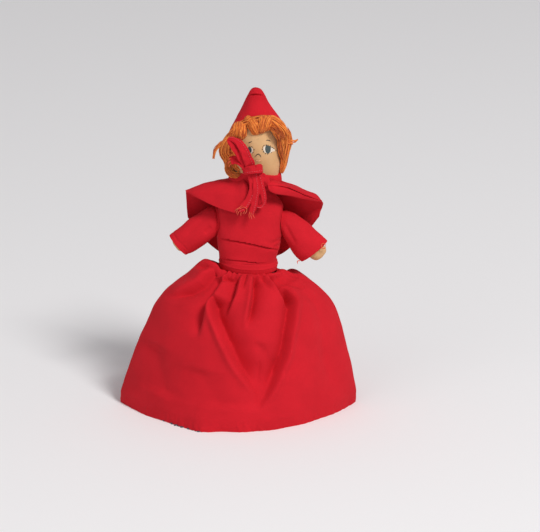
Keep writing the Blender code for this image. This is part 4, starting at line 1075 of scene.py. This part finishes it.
# Hood: a cone of red cotton over the back of the head, its front edge behind the rolled fringe
hoodShape = {
    "start": 61.7 * mm, "height": 47.3 * mm, "halfWidth": 19.2 * mm, "depthShare": 0.95, "backStep": 1.5 * mm,
    "edgeReach": 8.5 * mm, "edgeHeight": 96.6 * mm, "slope": math.radians(15.0),
    "sideSteps": [0.0, 0.3, 1.2, 1.6, 1.1, 0.1, -1.0],      # mm, upwards: it leans right, and its tip left
    "rows": [(0.0, 0.79), (0.14, 0.86), (0.30, 0.915), (0.45, 0.85), (0.60, 0.665), (0.72, 0.49), (0.83, 0.345),
             (0.91, 0.245), (0.965, 0.17), (0.99, 0.10), (1.0, 0.0)],
}


def makeHood():
    rows = [(high, wide, wide) for high, wide in hoodShape["rows"]]
    lifted = upperFrame @ Matrix.Translation((0, hoodShape["backStep"], hoodShape["start"]))
    scale = (hoodShape["halfWidth"], hoodShape["halfWidth"] * hoodShape["depthShare"], hoodShape["height"])
    hood = gridPiece("hood", 150, 110, ringsPlace(rows, lifted, scale), (0.1, 0.062), sewn=True)
    faceOutwards(hood)
    local = moved(pointsOf(hood), upperFrame.inverted())
    high = (local[:, 2] - hoodShape["start"]) / hoodShape["height"]
    local[:, 0] += alongValues(hoodShape["sideSteps"], high) * mm
    setPoints(hood, moved(local, upperFrame))
    # the tip is folded over, above a deep crease
    pressFolds(hood, [([(247, 97.6), (251, 95.6), (256, 95.0), (261, 95.6), (267, 99.0)], (-0.9, 3.2), (1.5, 1.2)),
                      ([(250.5, 92.0), (256, 91.2), (261, 92.6)], (0.35, 1.2), (0.35, 1.2)),
                      ([(246, 100), (241, 112), (236, 122)], (0.35, 3), (0.35, 4)),
                      ([(266, 101), (272, 111), (277, 119)], (0.3, 4), (0.3, 3))])
    local = moved(pointsOf(hood), upperFrame.inverted())
    pressSeam(hood, local[:, 0], 0.4 * mm, 0.45 * mm, where=local[:, 1] > 2 * mm)        # down its back
    roughen(hood, 12 * mm, 0.8 * mm, seed=13.0)
    roughen(hood, 4 * mm, 0.12 * mm, seed=14.0)
    edge = upperFrame @ Vector((0, -hoodShape["edgeReach"], hoodShape["edgeHeight"]))
    ahead = upperFrame.to_3x3() @ Vector((0, -math.cos(hoodShape["slope"]), -math.sin(hoodShape["slope"])))
    inEditMode(hood, lambda: bpy.ops.mesh.bisect(plane_co=edge, plane_no=ahead, clear_outer=True))
    thicken(hood, 0.45 * mm)
    smooth(hood)
    dress(hood, "upper_head", ["hood"], redCotton)


makeHood()


# Cape: a round of cloth folded over the shoulders; its front is a flap at the left and rolled back at the right
def netPlace(net):
    # a surface through rows of places, each row given along u; v runs from the first row to the last
    def place(u, v):
        rows = np.stack([alongTable(row, u) for row in net])
        each = np.arange(len(u))
        return between(rows, v, lambda padded, row: padded[row, :, each])
    return place


def placesFrom(rows):
    # rows of photo places with their depth in mm
    return [[tuple(fromPhoto(px, py, depth * mm)) for px, py, depth in row] for row in rows]


# back panel: from the ridge (first row) over the shoulders' back to the round lower edge
capeBack = placesFrom([
    [(185.8, 190.6, 1.5), (207.8, 182.6, 0), (229, 178, 1), (241, 174, 9),
     (256, 173, 11.5), (270, 174, 9), (281, 181, 2), (300, 188, 1), (322.5, 202, 3)],
    [(185.9, 192.0, 4.5), (208.5, 184.6, 5.5), (229, 182, 8), (241, 179, 13),
     (256, 178, 14.5), (270, 179, 13), (281, 184, 7.5), (300, 190.5, 5), (323.2, 203.6, 6)],
    [(186.4, 201.0, 8.5), (207.0, 203.0, 10), (227, 204, 13), (241, 204, 15),
     (256, 204, 15.5), (271, 204, 15), (284, 204, 13), (304, 206, 10), (322.0, 208.0, 9)],
    [(187.0, 209.5, 9.5), (206.0, 224.0, 12.5), (226, 230, 15), (241, 232, 15.5),
     (256, 232, 16.5), (271, 232, 15), (286, 230, 15.5), (305, 222, 12), (320.5, 211.5, 9.5)],
    [(187.8, 217.6, 10.0), (206.0, 241.0, 13.0), (221, 252.5, 15), (241, 260, 17),
     (256, 261.5, 15.5), (272, 258, 17), (288, 249, 14.5), (308, 230, 13), (319.2, 216.6, 10)],
])
# left flap: from the same ridge over the shoulder's front to the lower edge
capeLeft = placesFrom([
    [(185.8, 190.6, 1.5), (196, 186.6, 0.6), (207.8, 182.6, 0.0), (218, 179.7, 0.2),
     (229, 178.0, 1.0), (236, 176.0, -1.5), (242, 178.5, -10), (246.5, 184.0, -13.6)],
    [(185.7, 191.0, 0.6), (196, 187.8, -1.6), (207.8, 184.2, -3.0), (218, 182.2, -4.4),
     (229, 181.5, -6.0), (236.5, 181.5, -9.0), (243, 184.0, -13.4), (248.0, 188.0, -14.4)],
    [(185.9, 191.5, -0.2), (195, 190.6, -4.0), (206.0, 190.5, -7.6), (216, 190.5, -9.6),
     (226, 191.0, -11.4), (235.0, 192.0, -13.0), (242.5, 193.0, -14.6), (248.2, 194.0, -15.0)],
    [(186.2, 191.7, -0.8), (194, 193.4, -5.2), (203.5, 196.5, -8.8), (214, 199.4, -10.8),
     (224, 201.5, -12.8), (233.0, 203.0, -14.2), (240.5, 203.6, -15.2), (246.6, 202.0, -15.4)],
    [(186.5, 192.0, -1.0), (193, 195.4, -5.0), (201.5, 199.8, -8.6), (212, 205.0, -11.0),
     (222, 208.8, -13.2), (230.0, 211.2, -14.6), (236.5, 212.6, -15.4), (242.5, 209.5, -15.6)],
])
# right front: from the ridge forward, down and rolled back under itself
capeRight = placesFrom([
    [(268.0, 181.0, -12.2), (274, 181.0, -10.5), (281, 182.2, 2.0),
     (293.6, 185.7, 1.5), (307, 191.2, 1.2), (316.0, 194.6, 1.8), (322.5, 202.0, 3.0)],
    [(267.6, 182.0, -13.8), (274, 182.2, -13.4), (282, 183.8, -9.0),
     (294, 187.2, -6.4), (307, 192.6, -4.4), (316.0, 196.0, -1.8), (322.0, 201.4, 1.2)],
    [(267.4, 184.0, -15.0), (274.5, 184.4, -15.2), (283, 185.8, -13.0),
     (294, 188.8, -10.2), (306, 194.6, -7.6), (315.6, 198.2, -4.4), (321.6, 200.6, -0.6)],
    [(268.0, 185.6, -15.0), (275.0, 186.2, -14.9), (283.2, 186.4, -11.0),
     (294.2, 189.6, -8.2), (306.2, 195.2, -5.6), (315.6, 198.7, -2.8), (321.4, 200.8, 0.2)],
    [(268.2, 187.6, -15.2), (275.4, 188.2, -15.4), (284.0, 189.0, -12.8),
     (294.6, 191.6, -10.0), (306.2, 196.6, -7.2), (315.4, 199.6, -4.2), (321.0, 201.2, -0.6)],
    [(269.6, 190.2, -15.2), (275.4, 192.6, -15.2), (285.0, 194.6, -11.8),
     (295.5, 197.0, -8.8), (305.5, 199.2, -6.2), (314.5, 200.9, -3.4), (320.6, 201.5, -0.4)],
    [(270.6, 190.4, -13.8), (276.2, 192.6, -13.4), (285.4, 194.2, -10.2),
     (295.5, 196.4, -7.4), (305.5, 198.6, -4.8), (314.5, 200.2, -2.2), (320.4, 201.4, 0.2)],
    [(271.4, 187.6, -13.2), (276.0, 189.0, -12.8), (285.0, 190.6, -9.6),
     (295.0, 193.0, -6.6), (305.5, 196.0, -4.2), (314.5, 198.8, -2.0), (320.4, 201.2, 0.2)],
])


def makeCape():
    back = gridPiece("cape", 130, 64, netPlace(capeBack), (0.094, 0.05))
    points = pointsOf(back)
    low = np.clip((115 * mm - points[:, 2]) / (30 * mm), 0, 1)
    points[:, 1] += 1.1 * mm * low * np.sin(points[:, 0] / (2.7 * mm) + 0.8)
    setPoints(back, points)
    left = gridPiece("capeLeft", 80, 48, netPlace(capeLeft), (0.04, 0.026))
    right = gridPiece("capeRight", 80, 90, netPlace(capeRight), (0.04, 0.016))
    pressFolds(left, [([(246, 186), (240, 200), (236, 210)], (0.5, 5), (0.5, 3))])
    for piece in (left, right):
        faceOutwards(piece, (4 * mm, 4 * mm, 118 * mm))
    faceOutwards(back, (4 * mm, -4 * mm, 110 * mm))
    joined([left, right, back])
    roughen(back, 13 * mm, 0.7 * mm, seed=17.0)
    roughen(back, 4 * mm, 0.12 * mm, seed=18.0)
    thicken(back, 0.5 * mm, offset=0.0)
    smooth(back)
    dress(back, "dolls", ["cape"], redCotton)


makeCape()


# Tie: a folded and topstitched cotton strip, knotted at the neck
def strapAlong(name, line, widths, nodes, plump=1.1, stitchAt=0.72, creases=()):
    # a flat folded strip that faces the camera; line in photo places with depth, widths in pixels
    line = [tuple(fromPhoto(px, py, depth * mm)) for px, py, depth in line]

    def halfAt(share):
        return alongValues(widths, share) * view["pixel"] / 2

    def place(u, v):
        middle, ahead, across, out = lineFrame(line, v)
        angle = 2 * np.pi * u
        side, lift = np.cos(angle), np.sin(angle)
        wide = np.sign(side) * np.abs(side) ** 0.7 * halfAt(v)
        thick = np.sign(lift) * np.abs(lift) ** 0.8 * (0.5 * plump) * mm * (1 - 0.25 * np.cos(angle * 2) ** 2)
        crumple = 0.25 * mm * np.sin(v * 23.0 + 4 * side) * np.abs(side)
        return middle + across * wide[:, None] + out * (thick + crumple)[:, None]
    piece = gridPiece(name, 48, 90, place, (0.010, 0.03), sewn=True)
    faceOutwards(piece)
    pressFolds(piece, creases)
    roughen(piece, 2.2 * mm, 0.28 * mm, seed=float(len(name)))
    thicken(piece, 0.28 * mm)
    smooth(piece)
    dress(piece, "dolls", nodes, redCotton)
    long = float(np.linalg.norm(np.diff(np.array(line), axis=0), axis=1).sum())
    # the strip is cut twice as wide as it shows, and folded in two
    # topstitches along one edge, each a small raised prism
    if stitchAt:
        count = int(long / (1.25 * mm))
        shares = (np.arange(count) + 0.5) / count
        middle, ahead, across, out = lineFrame(line, shares)
        towards = np.sign((out * -viewForward).sum(axis=1))
        begins = middle + across * (halfAt(shares) * stitchAt)[:, None]
        begins += out * (towards * (0.5 * plump + 0.10) * mm)[:, None]
        routes = [[begins[i] + ahead[i] * reach * mm for reach in (-0.4, 0, 0.4)] for i in range(count)]
        stitches = strandMesh(name + "Stitches", routes, [0.13 * mm] * count, [0.5] * count, sides=5)
        dress(stitches, "dolls", [], paleThread)


def looseThreads(name, body, radius, lines):
    routes = [alongTable([tuple(fromPhoto(px, py, depth * mm)) for px, py, depth in line], np.linspace(0, 1, 16)).T
              for line in lines]
    piece = strandMesh(name, routes, [radius] * len(routes), [0.5] * len(routes), sides=6)
    dress(piece, body, [], redThread)


strapAlong("tieLongLegUpper", [(228.2, 138.2, -16.4), (233.2, 139.3, -17.2), (239.2, 143.2, -18.2),
                               (243.4, 149.2, -18.8), (246.8, 156.6, -18.4), (249.7, 164.0, -16.8),
                               (250.6, 169.2, -15.4)],
           [3.0, 5.2, 7.6, 8.6, 9.4, 10.2, 9.4], ["tie_long_loop"], stitchAt=0.5)
strapAlong("tieLongLegLower", [(228.0, 138.6, -16.6), (229.4, 142.0, -17.0), (232.8, 147.0, -17.4),
                               (236.8, 152.2, -17.6), (240.4, 158.0, -17.2), (244.2, 164.6, -15.8), (246, 169, -15)],
           [2.8, 4.2, 4.8, 5.4, 5.6, 5.6, 5.0], [], stitchAt=0)
strapAlong("tieLongInside", [(230.8, 140.4, -15.8), (235.4, 145.6, -16.6), (239.8, 152.6, -16.6), (243.0, 160.0, -15.8),
                             (246.4, 168.0, -14.4)], [2.0, 4.4, 4.6, 4.0, 2.4], [], stitchAt=0)
strapAlong("tieStub", [(230.9, 161.0, -14.4), (234.6, 159.7, -15.0), (238.8, 161.6, -15.6), (242.6, 165.2, -15.6),
                       (246.4, 169.4, -15)], [8.0, 8.2, 6.6, 5.6, 5.0], ["tie_short_loop"], plump=1.5, stitchAt=0,
           creases=[([(233.6, 157.6), (238.6, 160.6), (243.2, 165.6)], (0.55, 1.0), (0.55, 1.0))])
strapAlong("tieKnotBand", [(243.6, 171.4, -12.8), (244.6, 171.0, -16.0), (249.5, 170.0, -18.2), (255, 169.3, -18.7),
                           (259.8, 168.6, -17.8), (261.6, 168.4, -14.2)], [7.2, 7.8, 8.2, 8.6, 9.0, 8.6],
           ["tie_knot"], plump=1.7, stitchAt=-0.5,
           creases=[([(254.2, 164.4), (255.6, 167.6)], (0.5, 0.9), (0.5, 0.9)),
                    ([(245, 171.6), (252, 171.2), (261, 170)], (0.25, 1.2), (0.25, 1.2))])
strapAlong("tieLeftTail", [(250.4, 171.5, -15.4), (251.2, 178.0, -16.4), (252.6, 186.0, -17.0), (251.2, 194.0, -17.5),
                           (248.0, 201.2, -17.8), (243.6, 206.6, -18.0), (239.0, 210.0, -18.0)],
           [6.0, 6.4, 6.4, 6.4, 7.0, 7.8, 6.6], ["tie_left_tail"], stitchAt=0.45)
strapAlong("tieMiddleTail", [(254.6, 171.5, -15.8), (255.4, 180.0, -17.1), (256.2, 189.0, -17.9), (255.0, 198.0, -18.1),
                             (253.4, 206.0, -17.9), (251.6, 213.6, -17.4)],
           [5.6, 6.2, 6.8, 6.8, 6.8, 5.4], [], stitchAt=0.45)
strapAlong("tieRightTail", [(257.8, 171.5, -15.0), (259.6, 180.0, -16.1), (261.4, 188.0, -16.8), (263.2, 195.6, -16.6),
                            (263.8, 202.0, -15.8), (261.0, 206.4, -15.4), (257.0, 206.8, -15.6)],
           [5.0, 6.2, 7.0, 6.6, 5.0, 4.0, 2.6], ["tie_right_tail"], stitchAt=0.4)
strapAlong("tieNeckEnd", [(257.4, 172.4, -14.8), (261.8, 176.4, -15.3), (265.4, 180.8, -15.2), (265.6, 186.0, -14.2)],
           [5.6, 8.0, 9.0, 5.4], [], stitchAt=0)
# cut ends that fray, and ends of sewing thread left hanging
looseThreads("tieFrayedEnds", "dolls", 0.2 * mm, [
    [(243, 205, -18.4), (239.6, 207.4, -18.8), (237.0, 210.6, -18.6), (236.6, 214.0, -18.4)],
    [(242, 208, -18.4), (238.6, 208.4, -19), (236.4, 209.2, -18.8), (234.6, 211.6, -18.4)],
    [(241, 210, -18.2), (238.4, 212.4, -18.4), (237.6, 215.4, -18.2)],
    [(243, 210, -18.2), (241.0, 213.0, -18.4), (240.8, 216.0, -18.2)],
    [(240, 209, -18.6), (243.6, 207.0, -19.4), (246.6, 208.6, -19.4), (246.2, 212.2, -19), (244.0, 214.4, -18.8)],
    [(245, 208, -18.4), (244.4, 211.6, -18.8), (242.6, 214.0, -18.8)],
    [(250, 211, -17.8), (249.0, 215.0, -18), (249.4, 218.6, -17.8)],
    [(251.4, 211, -17.8), (250.8, 215.6, -18), (252.0, 219.4, -17.8)],
    [(252.8, 211, -17.8), (253.0, 215.2, -17.8), (254.6, 218.0, -17.6)],
    [(231.4, 158.4, -14.8), (229.4, 158.6, -15), (228.0, 160.0, -15)],
    [(231.2, 161.4, -14.8), (228.8, 162.0, -15), (227.4, 164.0, -15)],
    [(231.6, 163.6, -14.6), (229.8, 165.2, -14.8), (229.6, 167.2, -14.8)],
])
ringTurn = [math.radians(40 * step) for step in range(10)]
looseThreads("cuffThread", "upper_right_arm", 0.27 * mm, [
    [(323.5 + 2.3 * math.cos(turn), 246.0 + 2.6 * math.sin(turn), -5.0 - 0.5 * math.sin(turn)) for turn in ringTurn],
    [(300.8, 260.4, -3.0), (299.0, 260.8, -3.4), (297.4, 261.2, -3.6), (297.6, 264.0, -3.6)],
])
print("hood, cape and tie made")


# The second doll, upside down in the skirt, a little smaller, its arms lifted
raisedArm = {"droop": math.radians(-15.0), "sleeve": 26.2 * mm, "cuff": 8.5 * mm, "mitt": 7.0 * mm, "folds": []}
makeDoll({"name": "second", "frame": secondFrame, "girth": 0.9, "rise": 0.8, "collar": 0.9, "bodiceStart": 0.07,
          "bandStart": 2.6 * mm, "bodiceFolds": [], "backFolds": [], "arms": {-1: raisedArm, 1: raisedArm},
          "skin": (brownCloth, "brown_cotton"), "cloth": (darkCotton, "dark_cotton"), "yarn": (darkYarn, "dark_yarn")})


# Stage and lights
def addFloor():
    bpy.ops.object.select_all(action="DESELECT")
    bpy.ops.mesh.primitive_plane_add(size=12.0)
    floor = bpy.context.object
    floor.name = "floor"
    material, shader = newMaterial("pale matt floor", 0.95)[:2]
    shader.inputs["Base Color"].default_value = colour("F1EFEF")
    floor.data.materials.append(material)


def addLight(name, place, size, power, aim=(0.0, 0.0, 0.09)):
    bpy.ops.object.light_add(type="AREA", location=place)
    lamp = bpy.context.object
    lamp.name = name
    lamp.data.size = size
    lamp.data.energy = power
    lamp.visible_camera = False
    lamp.rotation_euler = (Vector(aim) - Vector(place)).to_track_quat("-Z", "Y").to_euler()


addFloor()
addLight("key", (1.35, -1.75, 2.45), 0.85, 77.0)
addLight("fill", (-1.8, -2.0, 1.4), 2.0, 10.0)
world = bpy.data.worlds.new("pale room")
bpy.context.scene.world = world
world.use_nodes = True
world.node_tree.nodes["Background"].inputs["Color"].default_value = colour("EDEDF0")
world.node_tree.nodes["Background"].inputs["Strength"].default_value = 0.42
bpy.context.scene.view_settings.view_transform = "Standard"
print("stage and lights ready")
